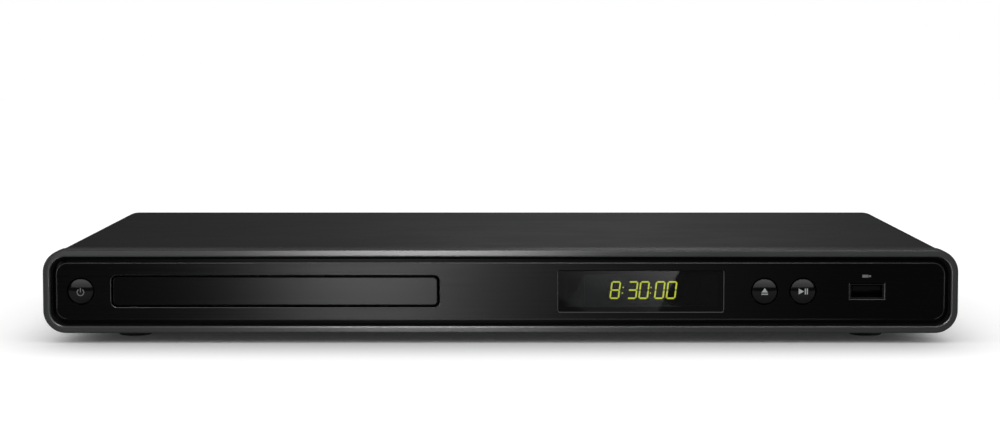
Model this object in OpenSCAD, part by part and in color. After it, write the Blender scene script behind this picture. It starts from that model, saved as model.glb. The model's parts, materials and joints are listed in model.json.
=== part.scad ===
// Slim disc player with a motor-driven disc tray.
// Millimetres. X to the right as seen from the front, Y towards the back, Z up.
// The origin is on the surface it stands on, under the middle of the whole object.

/* [Case] */
// Width of the front trim ring
case_w = 360; // [350:1:400]
// Height of the front trim ring
case_h = 33; // [33:0.5:36]
// Outer corner radius of the trim ring
corner_r = 9; // [7:0.5:10]
// Gap between the surface and the case
foot_h = 4; // [3:0.5:8]
// Front face to the rear panel
body_d = 201; // [199:1:230]
// Thickness of the sheet steel
sheet = 0.8; // [0.6:0.1:1]
// How far the cover sits inside the ring's outline
cover_inset = 0.5; // [0.3:0.1:0.8]
// Running gap between neighbouring pieces
gap = 0.3; // [0.2:0.05:0.35]

/* [Front] */
// Face width of the trim ring
ring_t = 2.8; // [2.4:0.1:3.4]
// Depth of the trim ring
ring_d = 10; // [9:0.5:10.5]
// Bevel on the ring's outer edge
ring_bevel = 1; // [0.5:0.1:1.4]
// Dark groove between the ring and the fascia
groove_w = 1; // [0.7:0.1:1.4]
// How far the fascia sits behind the ring's face
fascia_recess = 0.8; // [0.5:0.1:1.2]
// Thickness of the fascia plate
fascia_t = 2; // [1.6:0.1:2.4]
// Width of the fascia's sloping edge
fascia_bevel = 1.3; // [0.8:0.1:1.6]
// Thickness of the carrier behind the fascia
carrier_t = 2; // [1.6:0.1:2.4]

/* [Tray] */
// Middle of the tray, in from the left end of the front
tray_in = 91.4; // [90:0.2:92]
// Width of the tray's door
door_w = 128; // [126.8:0.2:128.4]
// Height of the tray's door
door_h = 11.3; // [10.8:0.1:11.8]
// Gap round the door
door_gap = 0.9; // [0.6:0.1:1]
// Thickness of the door
door_t = 2.5; // [2:0.1:3]
// Disc diameter
disc_d = 120; // [119:0.5:120]
// Diameter of the small disc's seat
small_disc_d = 81; // [78:0.5:84]
// Room behind the closed tray, inside the loader's frame
tray_room = 8.7; // [7.8:0.1:10.6]
// Travel of the tray
tray_travel = 132; // [110:1:132]

/* [Buttons] */
// Diameter of the three round buttons
button_d = 10.2; // [9:0.2:11]
// Middle of the standby button, in from the left end of the front
power_in = 14.8; // [14:0.2:15]
// Middle of the eject button, in from the right end of the front
eject_in = 76.1; // [74.1:0.2:79.1]
// Middle of the play button, in from the right end of the front
play_in = 61; // [58:0.2:62]
// How far the buttons' faces bulge
button_dome = 0.9; // [0.5:0.1:0.9]
// Travel of a button
button_travel = 0.5; // [0.3:0.05:0.6]

/* [Display] */
// Width of the display window
window_w = 65.6; // [60:0.2:70]
// Height of the display window
window_h = 16.8; // [15:0.2:18]
// Middle of the display window, in from the right end of the front
window_in = 124.8; // [124:0.2:126]
// Height of the figures
digit_h = 7.1; // [6:0.1:8]
// Middle of the row of figures, right of the window's middle
digits_shift = 1.2; // [-0.2:0.2:2.8]

/* [Socket] */
// Middle of the front socket, in from the right end of the front
usb_in = 35.8; // [32:0.2:37]
// Outer width of the front socket's shell
usb_w = 13.1; // [12.9:0.1:13.3]
// Outer height of the front socket's shell
usb_h = 5.7; // [5.5:0.1:5.9]
// Chamfered opening round the socket
usb_margin = 0.25; // [0.2:0.05:0.4]

/* [Mechanism] */
// Hinge to spindle distance of the traverse
lift_arm = 100; // [98:0.5:102]
// Drop of the turntable while the tray moves
lift_drop = 5.2; // [5:0.1:5.3]
// Travel of the slide cam
cam_travel = 12; // [11:0.5:13]
// Travel of the pickup
pickup_travel = 34; // [30:1:34]
// Module of the tray gears
gear_m = 1; // [1]
// Module of the pickup gears
sled_m = 0.6; // [0.6]

/* [Rear] */
// Length of a jack's barrel behind the rear panel
jack_out = 8; // [7:0.5:9]
// Diameter of a jack's barrel
jack_d = 8.3; // [8.2:0.1:8.4]
// Pitch of the jacks across the panel
jack_pitch = 14; // [13:0.5:15]

/* [Hidden] */
$fn = 48;

// Case
y_front = -(body_d + jack_out) / 2;     // face of the trim ring
y_rear = y_front + body_d;              // outer face of the rear panel
mid_z = foot_h + case_h / 2;            // middle of the front
case_top = foot_h + case_h;
cover_w = case_w - 2 * cover_inset;
cover_h = case_h - 2 * cover_inset;
cover_r = corner_r - cover_inset;
cover_y = y_front + ring_d + 0.1;       // front edge of the cover and the chassis
screw_r = 1.45;                         // M3 self-tapping screw
pilot_r = 1.5;
head_r = 2.8;
head_h = 1.6;
floor_z = foot_h + cover_inset + sheet; // top of the chassis floor
seam_z = foot_h + corner_r + 0.2;       // where the cover's sides meet the chassis
roof_z = case_top - cover_inset - sheet; // underside of the cover
dimple = head_h - cover_inset;          // the side screws' heads sit in dimples
flange_x = cover_w / 2 - sheet - dimple - 0.1;  // outer face of the chassis side flange
flange_top = seam_z + 11;
panel_t = 1;                            // rear panel sheet
panel_w = 2 * (flange_x - sheet - gap);
panel_top = roof_z - gap;

// Places along the front
tray_x = tray_in - case_w / 2;
power_x = power_in - case_w / 2;
window_x = case_w / 2 - window_in;
digits_x = window_x + digits_shift;
eject_x = case_w / 2 - eject_in;
play_x = case_w / 2 - play_in;
usb_x = case_w / 2 - usb_in;

// Front
fascia_w = case_w - 2 * (ring_t + groove_w);
fascia_h = case_h - 2 * (ring_t + groove_w);
fascia_r = corner_r - ring_t - groove_w + 0.8;
fascia_back = fascia_recess + fascia_t; // depths are measured back from the ring's face
carrier_back = fascia_back + carrier_t;
carrier_w = case_w - 2 * ring_t - 0.2;
carrier_h = case_h - 2 * ring_t - 0.2;
carrier_r = corner_r - ring_t - 0.1;
skirt_t = 1.6;
doorway_w = door_w + 2 * door_gap;
doorway_h = door_h + 2 * door_gap;
doorway_r = 2.6;
door_r = doorway_r - door_gap;
button_gap = 0.35;
board_d = 13;                           // face of the upright front boards
board_t = 1.6;
window_t = fascia_t - 0.4;              // the window sits 0.4 behind the fascia's face

// Loader heights
tray_top = mid_z + 3.9;
seat_z = mid_z - 0.1;                   // seat of the large disc
small_seat_z = mid_z - 1.1;
tray_floor = mid_z - 2.2;               // underside of the tray's floor
skirt_z = mid_z - 4.6;                  // underside of the tray's side skirts and rack
ledge_z = skirt_z - gap;
frame_z = floor_z + 1;                  // underside of the loader frame
frame_floor = frame_z + 1;
bridge_z = mid_z + 5.5;                 // underside of the clamper bridge
bridge_t = 1;

// Loader plan, about the tray's middle
recess_r = disc_d / 2 + 1;
tray_half = door_w / 2 - 1;             // half width of the tray
skirt_w = 2.5;
tray_y = y_front + fascia_recess + door_t;  // front of the tray, against the door
spindle_y = tray_y + 3.2 + recess_r;
frame_y = y_front + 10.5;
frame_end = y_rear - 12;
tray_end = frame_end - tray_room;
slot_half = 22;                         // half width of the slot over the pickup
lens_y = 24;                            // from the spindle to the lens, with the pickup at its inner end
lens_r = 3;
slot_end = spindle_y + lens_y + pickup_travel + lens_r + 1.5;
channel_z = mid_z;                      // roof of the channel under the tray's rear deck
wing_half = tray_half + 4;              // rear wings that hold the tray in its frame
wing_y = y_front + tray_travel + 8;
frame_half = tray_half + 7.5;
wall_t = 2;
rail_half = tray_half + 1.2;

// Tray gears
rack_pitch_x = 51.25;
rack_back_x = 55.5;
drive_teeth = 15;
large_teeth = 28;
small_teeth = 12;
drive_x = rack_pitch_x - gear_m * drive_teeth / 2;
drive_y = y_front + 27.5;
pulley_x = drive_x - gear_m * (large_teeth + small_teeth) / 2;
motor_x = pulley_x - 34;
pulley_r = 10.5;
motor_pulley_r = 3;
large_gear_z = frame_floor + 1.7;
large_gear_h = 3;
belt_z = mid_z - 6.5;
belt_h = 1.2;
belt_t = 1;
gear_lash = 0.2;

// Traverse, drawn raised and level, then lowered about its hinge
pivot_y = spindle_y + lift_arm;
pivot_z = mid_z - 7.5;
lower_angle = asin(lift_drop / lift_arm);
plate_z = mid_z - 6.9;                  // underside of the traverse plate
plate_t = 1.2;
plate_left = -52;
plate_right = 34;
plate_front = -20;                      // from here on, Y is measured from the spindle
plate_end = lift_arm - 6;
rod_x = 25;
rod_r = 1.4;
rod_z = mid_z - 4.2;
rod_front = 8;
rod_end = 82;
sled_front = 14;
sled_len = 26;
disc_z = mid_z + 3.1;                   // underside of a clamped disc
hub_h = 1.6;
sled_rack_x = -33;                      // pitch line of the pickup's rack
sled_small = 14;
sled_large = 28;
sled_drive = 12;
sled_gear_x = sled_rack_x - sled_m * sled_small / 2;
sled_gear_y = 52;
sled_pinion_y = sled_gear_y + sled_m * (sled_large + sled_drive) / 2;
sled_rack_z = mid_z - 5.3;
sled_rack_h = 1.5;
sled_large_z = mid_z - 3.6;
sled_large_h = 1;
sled_lash = 0.12;
cam_pin_r = 1;
cam_pin_y = plate_front - 2;
cam_pin_z = mid_z - 4.6;
cam_y = cam_pin_y - 1.5;
cam_t = 2;
cam_half = 30;
cam_low_z = pivot_z + (cam_pin_y - lift_arm) * sin(lower_angle)
    + (cam_pin_z - pivot_z) * cos(lower_angle);

// Boards
pcb_z = floor_z + 3;                    // underside of the flat boards
pcb_t = 1.6;
pcb_top = pcb_z + pcb_t;
pcb_rear = 4;                           // rear edges of the boards, in from the rear panel's face
board_gap = 8;                          // between the boards, and from the main board to the loader
supply_w = 62;
supply_d = 154;
supply_x = case_w / 2 - 6 - supply_w;
supply_y = y_rear - pcb_rear - supply_d;
main_d = 108;
main_x = tray_x + frame_half + board_gap + 0.1;
main_w = supply_x - board_gap - main_x;
main_y = y_rear - pcb_rear - main_d;
jack_low_z = mid_z - 7;
jack_rows = [jack_low_z, jack_low_z + 12];
jack_first_x = main_x + 30;
jack_cols = [0, 1, 2];
coax_x = jack_first_x + 3.4 * jack_pitch;
jack_block_d = 13;
flange_t = 0.6;
inlet_x = supply_x + 36;
inlet_w = 18;
inlet_h = 11;
inlet_d = 18;
inlet_z = mid_z - 1;
inlet_pin_pitch = 8.6;
inlet_pin_r = 1.2;

foot_r = 9;
foot_places = [for (sx = [-1, 1]) for (y = [y_front + 30, y_rear - 28]) [sx * (case_w / 2 - 32), y]];
frame_posts = [for (sx = [-1, 1]) for (y = [frame_y + 6, frame_end - 6])
    [tray_x + sx * (frame_half - 5.5), y]];
main_posts = [for (x = [main_x + 5, main_x + main_w - 5]) for (y = [main_y + 5, main_y + main_d - 22])
    [x, y]];
supply_posts = [for (x = [supply_x + 5, supply_x + supply_w - 5])
    for (y = [supply_y + 5, supply_y + supply_d - 24]) [x, y]];
side_screw_y = [cover_y + 30, y_rear - 22];
side_screw_z = seam_z + 5;
lip_h = 4;                              // the cover's rear lip, and its three screw tabs
tab_h = 9;
tab_w = 12;
lip_screw_x = [40 - case_w / 2, jack_first_x - 13, case_w / 2 - 40];
lip_screw_z = panel_top - 4.5;

// ---------- shapes that repeat ----------

module round_rect(w, h, r) {
    square([w - 2 * r, h], center = true);
    square([w, h - 2 * r], center = true);
    for (sx = [-1, 1], sy = [-1, 1])
        translate([sx * (w / 2 - r), sy * (h / 2 - r)]) circle(r);
}

// An upright plate, drawn in X and Z: its face is depth behind the trim ring's face.
module upright(depth, t)
    translate([0, y_front + depth + t, 0]) rotate([90, 0, 0]) linear_extrude(t) children();

// A flat plate from height z, drawn in X and Y.
module flat(z, h) translate([0, 0, z]) linear_extrude(h) children();

// A profile swept round a rounded rectangle. The profile's x is outwards from the outline.
module swept(w, h, r) {
    for (k = [0:3]) {
        out = k % 2 == 0 ? w / 2 : h / 2;
        run = (k % 2 == 0 ? h : w) - 2 * r;
        rotate([0, 0, 90 * k]) translate([out, 0, 0]) rotate([90, 0, 0])
            linear_extrude(run, center = true) children();
        sx = (k == 0 || k == 3) ? 1 : -1;
        sy = k < 2 ? 1 : -1;
        translate([sx * (w / 2 - r), sy * (h / 2 - r), 0]) rotate([0, 0, 90 * k])
            rotate_extrude(angle = 90) translate([r, 0]) children();
    }
}

// A rounded plate whose front edge slopes: lies on z = 0 and faces +Z.
module bevelled_plate(w, h, r, t, slope_w, slope_d) {
    linear_extrude(t) round_rect(w - 2 * slope_w, h - 2 * slope_w, r - slope_w);
    swept(w, h, r) polygon([[-slope_w, 0], [0, 0], [0, t - slope_d], [-slope_w, t]]);
}

module bar_hole(x, z, w, h, depth_end = 40)
    translate([x - w / 2, y_front - 1, z - h / 2]) cube([w, depth_end + 1, h]);

// A round hole from the front through the fascia and the carrier.
module front_hole(x, r, depth_end = 40)
    translate([x, y_front - 1, mid_z]) rotate([-90, 0, 0]) cylinder(r = r, h = depth_end + 1);

module rod_y(x, y0, y1, z, r) translate([x, y0, z]) rotate([-90, 0, 0]) cylinder(r = r, h = y1 - y0);
module rod_x(x0, x1, y, z, r) translate([x0, y, z]) rotate([0, 90, 0]) cylinder(r = r, h = x1 - x0);
module post(x, y, z0, z1, r) translate([x, y, z0]) cylinder(r = r, h = z1 - z0);
module box(x0, x1, y0, y1, z0, z1) translate([x0, y0, z0]) cube([x1 - x0, y1 - y0, z1 - z0]);

// Involute spur gear outline, tooth 0 centred on +X.
function roll_angle(a) = tan(a) * 180 / PI - a;
function half_tooth(n, m, lash, r) = let (rp = m * n / 2, rb = rp * cos(20))
    (PI * m / 2 - lash) / (2 * rp) * 180 / PI + roll_angle(20) - (r > rb ? roll_angle(acos(rb / r)) : 0);
function gear_points(n, m, lash) = let (
        rp = m * n / 2, rb = rp * cos(20), tip = rp + 0.8 * m, root = rp - 1.1 * m,
        low = max(rb, root), steps = 4,
        radii = concat(root < low ? [root] : [], [for (i = [0:steps]) low + (tip - low) * i / steps]),
        last = len(radii) - 1)
    [for (k = [0:n - 1]) each concat(
        [for (i = [0:last]) turned(radii[i], 360 * k / n - half_tooth(n, m, lash, radii[i]))],
        [for (i = [last:-1:0]) turned(radii[i], 360 * k / n + half_tooth(n, m, lash, radii[i]))])];
function turned(r, a) = r * [cos(a), sin(a)];

module gear(n, m, lash, h, turn = 0)
    rotate([0, 0, turn]) linear_extrude(h) polygon(gear_points(n, m, lash));

// Rack outline with its teeth towards -X: pitch line at x = 0, tooth 0 centred on y = 0.
function rack_points(m, lash, first, last, back) = let (
        pitch = PI * m, half = (pitch / 2 - lash) / 2, lean = tan(20),
        tip = half - 0.8 * m * lean, root = half + 1.1 * m * lean)
    concat(
        [[back, (first - 0.5) * pitch], [1.1 * m, (first - 0.5) * pitch]],
        [for (k = [first:last]) each [[1.1 * m, k * pitch - root], [-0.8 * m, k * pitch - tip],
            [-0.8 * m, k * pitch + tip], [1.1 * m, k * pitch + root]]],
        [[1.1 * m, (last + 0.5) * pitch], [back, (last + 0.5) * pitch]]);

// Everything in the loader is placed about the tray's middle.
module loader() translate([tray_x, 0, 0]) children();

// The traverse turns down about its hinge, so that the tray can pass over the turntable.
module lowered()
    loader() translate([0, pivot_y, pivot_z]) rotate([lower_angle, 0, 0]) translate([0, -pivot_y, -pivot_z])
        children();
module from_spindle() lowered() translate([0, spindle_y, 0]) children();

// ---------- case ----------

module case_outline() translate([0, mid_z]) round_rect(cover_w, cover_h, cover_r);
module case_hollow()
    translate([0, mid_z]) round_rect(cover_w - 2 * sheet, cover_h - 2 * sheet, cover_r - sheet);
module side_flanges() for (s = [-1, 1]) {
    translate([s * (flange_x - sheet / 2), (seam_z - sheet + flange_top) / 2])
        square([sheet, flange_top - seam_z + sheet], center = true);
    translate([s * (flange_x - sheet + (cover_w / 2 - flange_x + sheet) / 2), seam_z - sheet / 2])
        square([cover_w / 2 - flange_x + sheet, sheet], center = true);
}

vent_pitch = 14;
module floor_vents()
    for (x = [main_x - 2:vent_pitch:supply_x - vent_pitch / 2], y = [y_rear - 60, y_rear - 100])
        box(x, x + 3, y, y + 26, foot_h - 1, floor_z + 0.5);

module bottom_chassis() color("#3a3d3f") difference() {
    union() {
        upright(cover_y - y_front, y_rear - cover_y) {
            difference() {
                case_outline();
                case_hollow();
                translate([-case_w, seam_z]) square([2 * case_w, case_h]);
            }
            side_flanges();
        }
        for (p = frame_posts) post(p[0], p[1], floor_z - 0.4, frame_z, 3.2);
        for (p = concat(main_posts, supply_posts)) post(p[0], p[1], floor_z - 0.4, pcb_z, 3);
    }
    for (p = concat(frame_posts, main_posts, supply_posts)) post(p[0], p[1], foot_h - 1, pcb_top, 1.25);
    for (p = foot_places) post(p[0], p[1], foot_h - 1, floor_z + 1, 2.6);
    for (y = side_screw_y) rod_x(-case_w, case_w, y, side_screw_z, pilot_r);
    floor_vents();
}

module side_rod(s, x0, x1, y, r) rod_x(s > 0 ? x0 : -x1, s > 0 ? x1 : -x0, y, side_screw_z, r);

module side_vents() for (s = [-1, 1], i = [0:9])
    translate([s * cover_w / 2, y_rear - 96 + 6 * i, mid_z + 0.5]) cube([6, 2.2, 9], center = true);

module rear_lip(x, half, h) box(x - half, x + half, y_rear, y_rear + sheet, roof_z - h, roof_z + 0.2);

module top_cover() color("#1d1f20") difference() {
    union() {
        upright(cover_y - y_front, y_rear - cover_y + sheet) difference() {
            case_outline();
            case_hollow();
            translate([-case_w, seam_z + 0.1 - 2 * case_h]) square([2 * case_w, 2 * case_h]);
        }
        rear_lip(0, cover_w / 2 - cover_r, lip_h);
        for (x = lip_screw_x) rear_lip(x, tab_w / 2, tab_h);
        for (y = side_screw_y, s = [-1, 1])
            side_rod(s, cover_w / 2 - dimple - sheet, cover_w / 2 - sheet / 2, y, head_r + 1.2 + sheet);
    }
    for (y = side_screw_y, s = [-1, 1]) side_rod(s, cover_w / 2 - dimple, cover_w, y, head_r + 1.2);
    side_vents();
    for (y = side_screw_y) rod_x(-case_w, case_w, y, side_screw_z, pilot_r + 0.2);
    for (x = lip_screw_x) rod_y(x, y_rear - 0.5, y_rear + 2, lip_screw_z, pilot_r + 0.2);
}

module rear_cutouts() {
    for (z = jack_rows, c = jack_cols)
        rod_y(jack_first_x + c * jack_pitch, y_rear - 3, y_rear + 3, z, jack_d / 2 + 0.45);
    rod_y(coax_x, y_rear - 3, y_rear + 3, jack_low_z, jack_d / 2 + 0.45);
    translate([inlet_x, y_rear, inlet_z]) cube([inlet_w + 0.4, 6, inlet_h + 0.4], center = true);
    for (x = lip_screw_x) rod_y(x, y_rear - 3, y_rear + 3, lip_screw_z, pilot_r);
    for (i = [0:13])
        translate([30 - case_w / 2 + 8 * i, y_rear, mid_z - 3]) cube([3, 6, 12], center = true);
}

module rear_panel() color("#8d9194") difference() {
    union() {
        translate([0, y_rear, (floor_z + panel_top) / 2]) rotate([90, 0, 0])
            linear_extrude(panel_t) round_rect(panel_w, panel_top - floor_z, cover_r - sheet);
        box(30 - case_w / 2, case_w / 2 - 30, y_rear - 9, y_rear - panel_t, floor_z, floor_z + 0.8);
    }
    rear_cutouts();
}

module feet() color("#1a1a1a") for (p = foot_places) {
    difference() {
        union() {
            translate([p[0], p[1], 1]) rotate_extrude()
                polygon([[0, 0], [foot_r - 0.8, 0], [foot_r, foot_h + cover_inset - 2],
                    [foot_r, foot_h + cover_inset - 1], [0, foot_h + cover_inset - 1]]);
            post(p[0], p[1], foot_h, floor_z + 0.8, 2.5);
        }
        post(p[0], p[1], 0, 1.8, foot_r - 2.4);
    }
}

module foot_pads() color("#303030") for (p = foot_places) post(p[0], p[1], 0, 1.7, foot_r - 2.5);

module cap_screw(h) {
    cylinder(r = screw_r, h = h);
    translate([0, 0, h]) difference() {
        rotate_extrude()
            polygon([[0, 0], [head_r, 0], [head_r, head_h * 0.5], [head_r * 0.7, head_h], [0, head_h]]);
        for (a = [0, 90]) rotate([0, 0, a]) translate([0, 0, head_h])
            cube([head_r * 1.1, 0.6, head_h], center = true);
    }
}

module cover_screws() color("#222222") {
    for (x = lip_screw_x) translate([x, y_rear + sheet - 5, lip_screw_z]) rotate([-90, 0, 0]) cap_screw(5);
    for (y = side_screw_y, s = [-1, 1])
        translate([s * (cover_w / 2 - dimple - 4), y, side_screw_z]) rotate([0, s * 90, 0]) cap_screw(4);
}

module inner_screws() color("#b5b8ba") {
    for (p = frame_posts) small_screw(p, frame_floor, frame_floor - foot_h - 0.8);
    for (p = concat(main_posts, supply_posts)) small_screw(p, pcb_top, 3.4);
}
module small_screw(p, z, length) {
    post(p[0], p[1], z - length, z, 1.2);
    translate([p[0], p[1], z]) cylinder(r1 = 2.6, r2 = 2, h = 1.3);
}

// ---------- front ----------

module trim_ring() color("#4a4d4e")
    translate([0, y_front + ring_d, mid_z]) rotate([90, 0, 0]) swept(case_w, case_h, corner_r)
        polygon([[-ring_t, 0], [0, 0], [0, ring_d - ring_bevel],
            for (a = [30:30:60]) [0, ring_d] + ring_bevel * [cos(a) - 1, sin(a) - 1],
            [-ring_bevel, ring_d], [-ring_t + 0.4, ring_d], [-ring_t, ring_d - 0.4]]);

module doorway() translate([tray_x, mid_z]) round_rect(doorway_w, doorway_h, doorway_r);

module front_openings() {
    upright(-1, board_d) doorway();
    for (x = [power_x, eject_x, play_x]) front_hole(x, button_d / 2 + button_gap);
    bar_hole(usb_x, mid_z, usb_w + 2 * usb_margin, usb_h + 2 * usb_margin);
}

module front_carrier() color("#0c0c0c") difference() {
    union() {
        translate([0, y_front + fascia_back + carrier_t, mid_z]) rotate([90, 0, 0])
            linear_extrude(carrier_t) round_rect(carrier_w, carrier_h, carrier_r);
        translate([0, y_front + ring_d - 0.2, mid_z]) rotate([90, 0, 0])
            linear_extrude(ring_d - 0.2 - carrier_back) difference() {
                round_rect(carrier_w, carrier_h, carrier_r);
                round_rect(carrier_w - 2 * skirt_t, carrier_h - 2 * skirt_t, carrier_r - skirt_t);
            }
        for (p = board_bosses) translate([p[0], y_front + board_d, p[1]]) rotate([90, 0, 0])
            cylinder(r = 2.2, h = board_d - carrier_back + 0.2);
    }
    front_openings();
    bar_hole(window_x, mid_z, window_w - 5, window_h - 4);
    for (p = board_bosses) translate([p[0], y_front + board_d + 1, p[1]]) rotate([90, 0, 0])
        cylinder(r = 1, h = board_d - carrier_back);
}

boss_z = mid_z + 9.5;
board_bosses = [[power_x, boss_z], [window_x - 34, boss_z], [eject_x - 7, boss_z], [usb_x + 9, boss_z]];

module fascia_plate() color("#161616") difference() {
    translate([0, y_front + fascia_back, mid_z]) rotate([90, 0, 0])
        bevelled_plate(fascia_w, fascia_h, fascia_r, fascia_t, fascia_bevel, 0.9);
    front_openings();
    upright(-1, fascia_back + 1) translate([window_x, mid_z]) round_rect(window_w, window_h, 1);
    usb_chamfer();
}

// Sloping mouth round the front socket
module usb_chamfer() translate([usb_x, y_front + fascia_recess, mid_z]) rotate([90, 0, 0])
    translate([0, 0, -0.5]) hull() {
        linear_extrude(0.01) square([usb_w + 2 * usb_margin, usb_h + 2 * usb_margin], center = true);
        translate([0, 0, 1]) linear_extrude(0.01)
            square([usb_w + 2 * usb_margin + 1, usb_h + 2 * usb_margin + 1], center = true);
    }

module display_window() color("#0b1012")
    upright(fascia_back - window_t, window_t) translate([window_x, mid_z])
        round_rect(window_w - 0.2, window_h - 0.2, 0.9);

module_w = 46;
module_h = 12;
module_face = carrier_back + 1;
module display_module() color("#15181a") upright(module_face, board_d - module_face)
    translate([digits_x, mid_z]) square([module_w, module_h], center = true);

// Seven-segment figures. Segments: top, upper right, lower right, bottom, lower left, upper left, middle.
digit_w = 3.7;
stroke = 0.72;
seg_gap = 0.12;
slant = 0.12;
digit_shapes = [
    [1, 1, 1, 1, 1, 1, 1],
    [1, 1, 1, 1, 0, 0, 1],
    [1, 1, 1, 1, 1, 1, 0],
    [1, 1, 1, 1, 1, 1, 0],
    [1, 1, 1, 1, 1, 1, 0]
];
digit_starts = [-11.2, -5.5, -1.3, 4.4, 8.6];
colon_places = [-6.9, 3];

function leaning(p) = [p[0] + slant * p[1], p[1]];
function bar_h(cx, cy, len) = [for (p = [[-len / 2, 0], [-len / 2 + stroke / 2, stroke / 2],
    [len / 2 - stroke / 2, stroke / 2], [len / 2, 0], [len / 2 - stroke / 2, -stroke / 2],
    [-len / 2 + stroke / 2, -stroke / 2]]) leaning([cx + p[0], cy + p[1]])];
function bar_v(cx, cy, len) = [for (p = [[0, -len / 2], [stroke / 2, -len / 2 + stroke / 2],
    [stroke / 2, len / 2 - stroke / 2], [0, len / 2], [-stroke / 2, len / 2 - stroke / 2],
    [-stroke / 2, -len / 2 + stroke / 2]]) leaning([cx + p[0], cy + p[1]])];
function segment(i) = let (hw = (digit_w - stroke) / 2, q = (digit_h - stroke) / 4,
        across = digit_w - stroke - 2 * seg_gap, up = (digit_h - stroke) / 2 - 2 * seg_gap)
    i == 0 ? bar_h(0, 2 * q, across) : i == 3 ? bar_h(0, -2 * q, across) : i == 6 ? bar_h(0, 0, across)
    : bar_v((i == 1 || i == 2) ? hw : -hw, (i == 1 || i == 5) ? q : -q, up);

module display_digits() color("#c9e01e") upright(module_face - 0.2, 0.2) translate([digits_x, mid_z]) {
    for (d = [0:4], s = [0:6]) if (digit_shapes[d][s] == 1)
        translate([digit_starts[d] + digit_w / 2, 0]) polygon(segment(s));
    for (x = colon_places, y = [-1.2, 1.2]) translate([x + slant * y, y]) square(0.55, center = true);
}

front_board_x0 = window_x - 37;
front_board_x1 = usb_x + 13;
board_low = floor_z + 1;
board_high = roof_z - 2;
module front_board() color("#1f5a34") difference() {
    upright(board_d, board_t) translate([front_board_x0, board_low])
        square([front_board_x1 - front_board_x0, board_high - board_low]);
    for (p = board_bosses) front_board_hole(p);
}
module front_board_hole(p) rod_y(p[0], y_front + board_d - 1, y_front + board_d + 3, p[1], 1.2);

module standby_board() color("#1f5a34") difference() {
    upright(board_d, board_t) translate([power_x - 6.5, board_low]) square([12, board_high - board_low]);
    front_board_hole(board_bosses[0]);
}

switch_face = board_d - 3.6;
plunger_r = 1.7;
plunger_out = 1.4;
module tact_switches() color("#2b2b2b") for (x = [power_x, eject_x, play_x]) difference() {
    upright(switch_face, board_d - switch_face) translate([x, mid_z]) square([6, 6], center = true);
    rod_y(x, y_front + switch_face - 1, y_front + plunger_in + button_travel + gap, mid_z, plunger_r + 0.15);
}

plunger_in = switch_face + 1.6;
module plunger(x) color("#4a3a2a")
    rod_y(x, y_front + switch_face - plunger_out, y_front + plunger_in, mid_z, plunger_r);
module power_plunger() plunger(power_x);
module eject_plunger() plunger(eject_x);
module play_plunger() plunger(play_x);

// A domed cap with a rounded edge, a retaining flange behind the carrier, and a stem to its switch.
cap_edge = fascia_recess + 0.4;
cap_r = button_d / 2 - 0.25;
dome_r = (cap_r * cap_r + button_dome * button_dome) / (2 * button_dome);
flange_d = carrier_back + 0.15;
module button(x) color("#1c1d1e")
    translate([x, y_front, mid_z]) rotate([-90, 0, 0]) rotate_extrude() polygon([
        for (i = [0:8]) let (r = cap_r * i / 8)
            [r, cap_edge - button_dome + dome_r - sqrt(dome_r * dome_r - r * r)],
        [button_d / 2, cap_edge + 0.3], [button_d / 2, flange_d],
        [button_d / 2 + 1.3, flange_d], [button_d / 2 + 1.3, flange_d + 0.9],
        [1.8, flange_d + 0.9], [1.8, switch_face - plunger_out], [0, switch_face - plunger_out]]);
module power_button() button(power_x);
module eject_button() button(eject_x);
module play_button() button(play_x);

usb_mouth = fascia_recess + 0.6;
usb_wall = 0.3;
module usb_shell() color("#c4c7c9") translate([usb_x, 0, mid_z]) difference() {
    upright(usb_mouth, board_d - usb_mouth) square([usb_w, usb_h], center = true);
    upright(usb_mouth - 1, board_d - usb_wall - usb_mouth + 1)
        square([usb_w - 2 * usb_wall, usb_h - 2 * usb_wall], center = true);
}
module usb_tongue() color("#e8e8e8") translate([usb_x, 0, mid_z + 1.15])
    upright(usb_mouth + 1.6, board_d - usb_wall - usb_mouth - 1.6) square([11.1, 1.84], center = true);

receiver_face = carrier_back + 3;
module remote_receiver() color("#241a22") {
    upright(receiver_face, board_d - receiver_face)
        translate([window_x - 26, mid_z]) square([5.6, 7], center = true);
    translate([window_x - 26, y_front + receiver_face, mid_z + 1]) rotate([90, 0, 0])
        cylinder(r1 = 2.3, r2 = 1.4, h = 1.6);
}

// ---------- loader ----------

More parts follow.
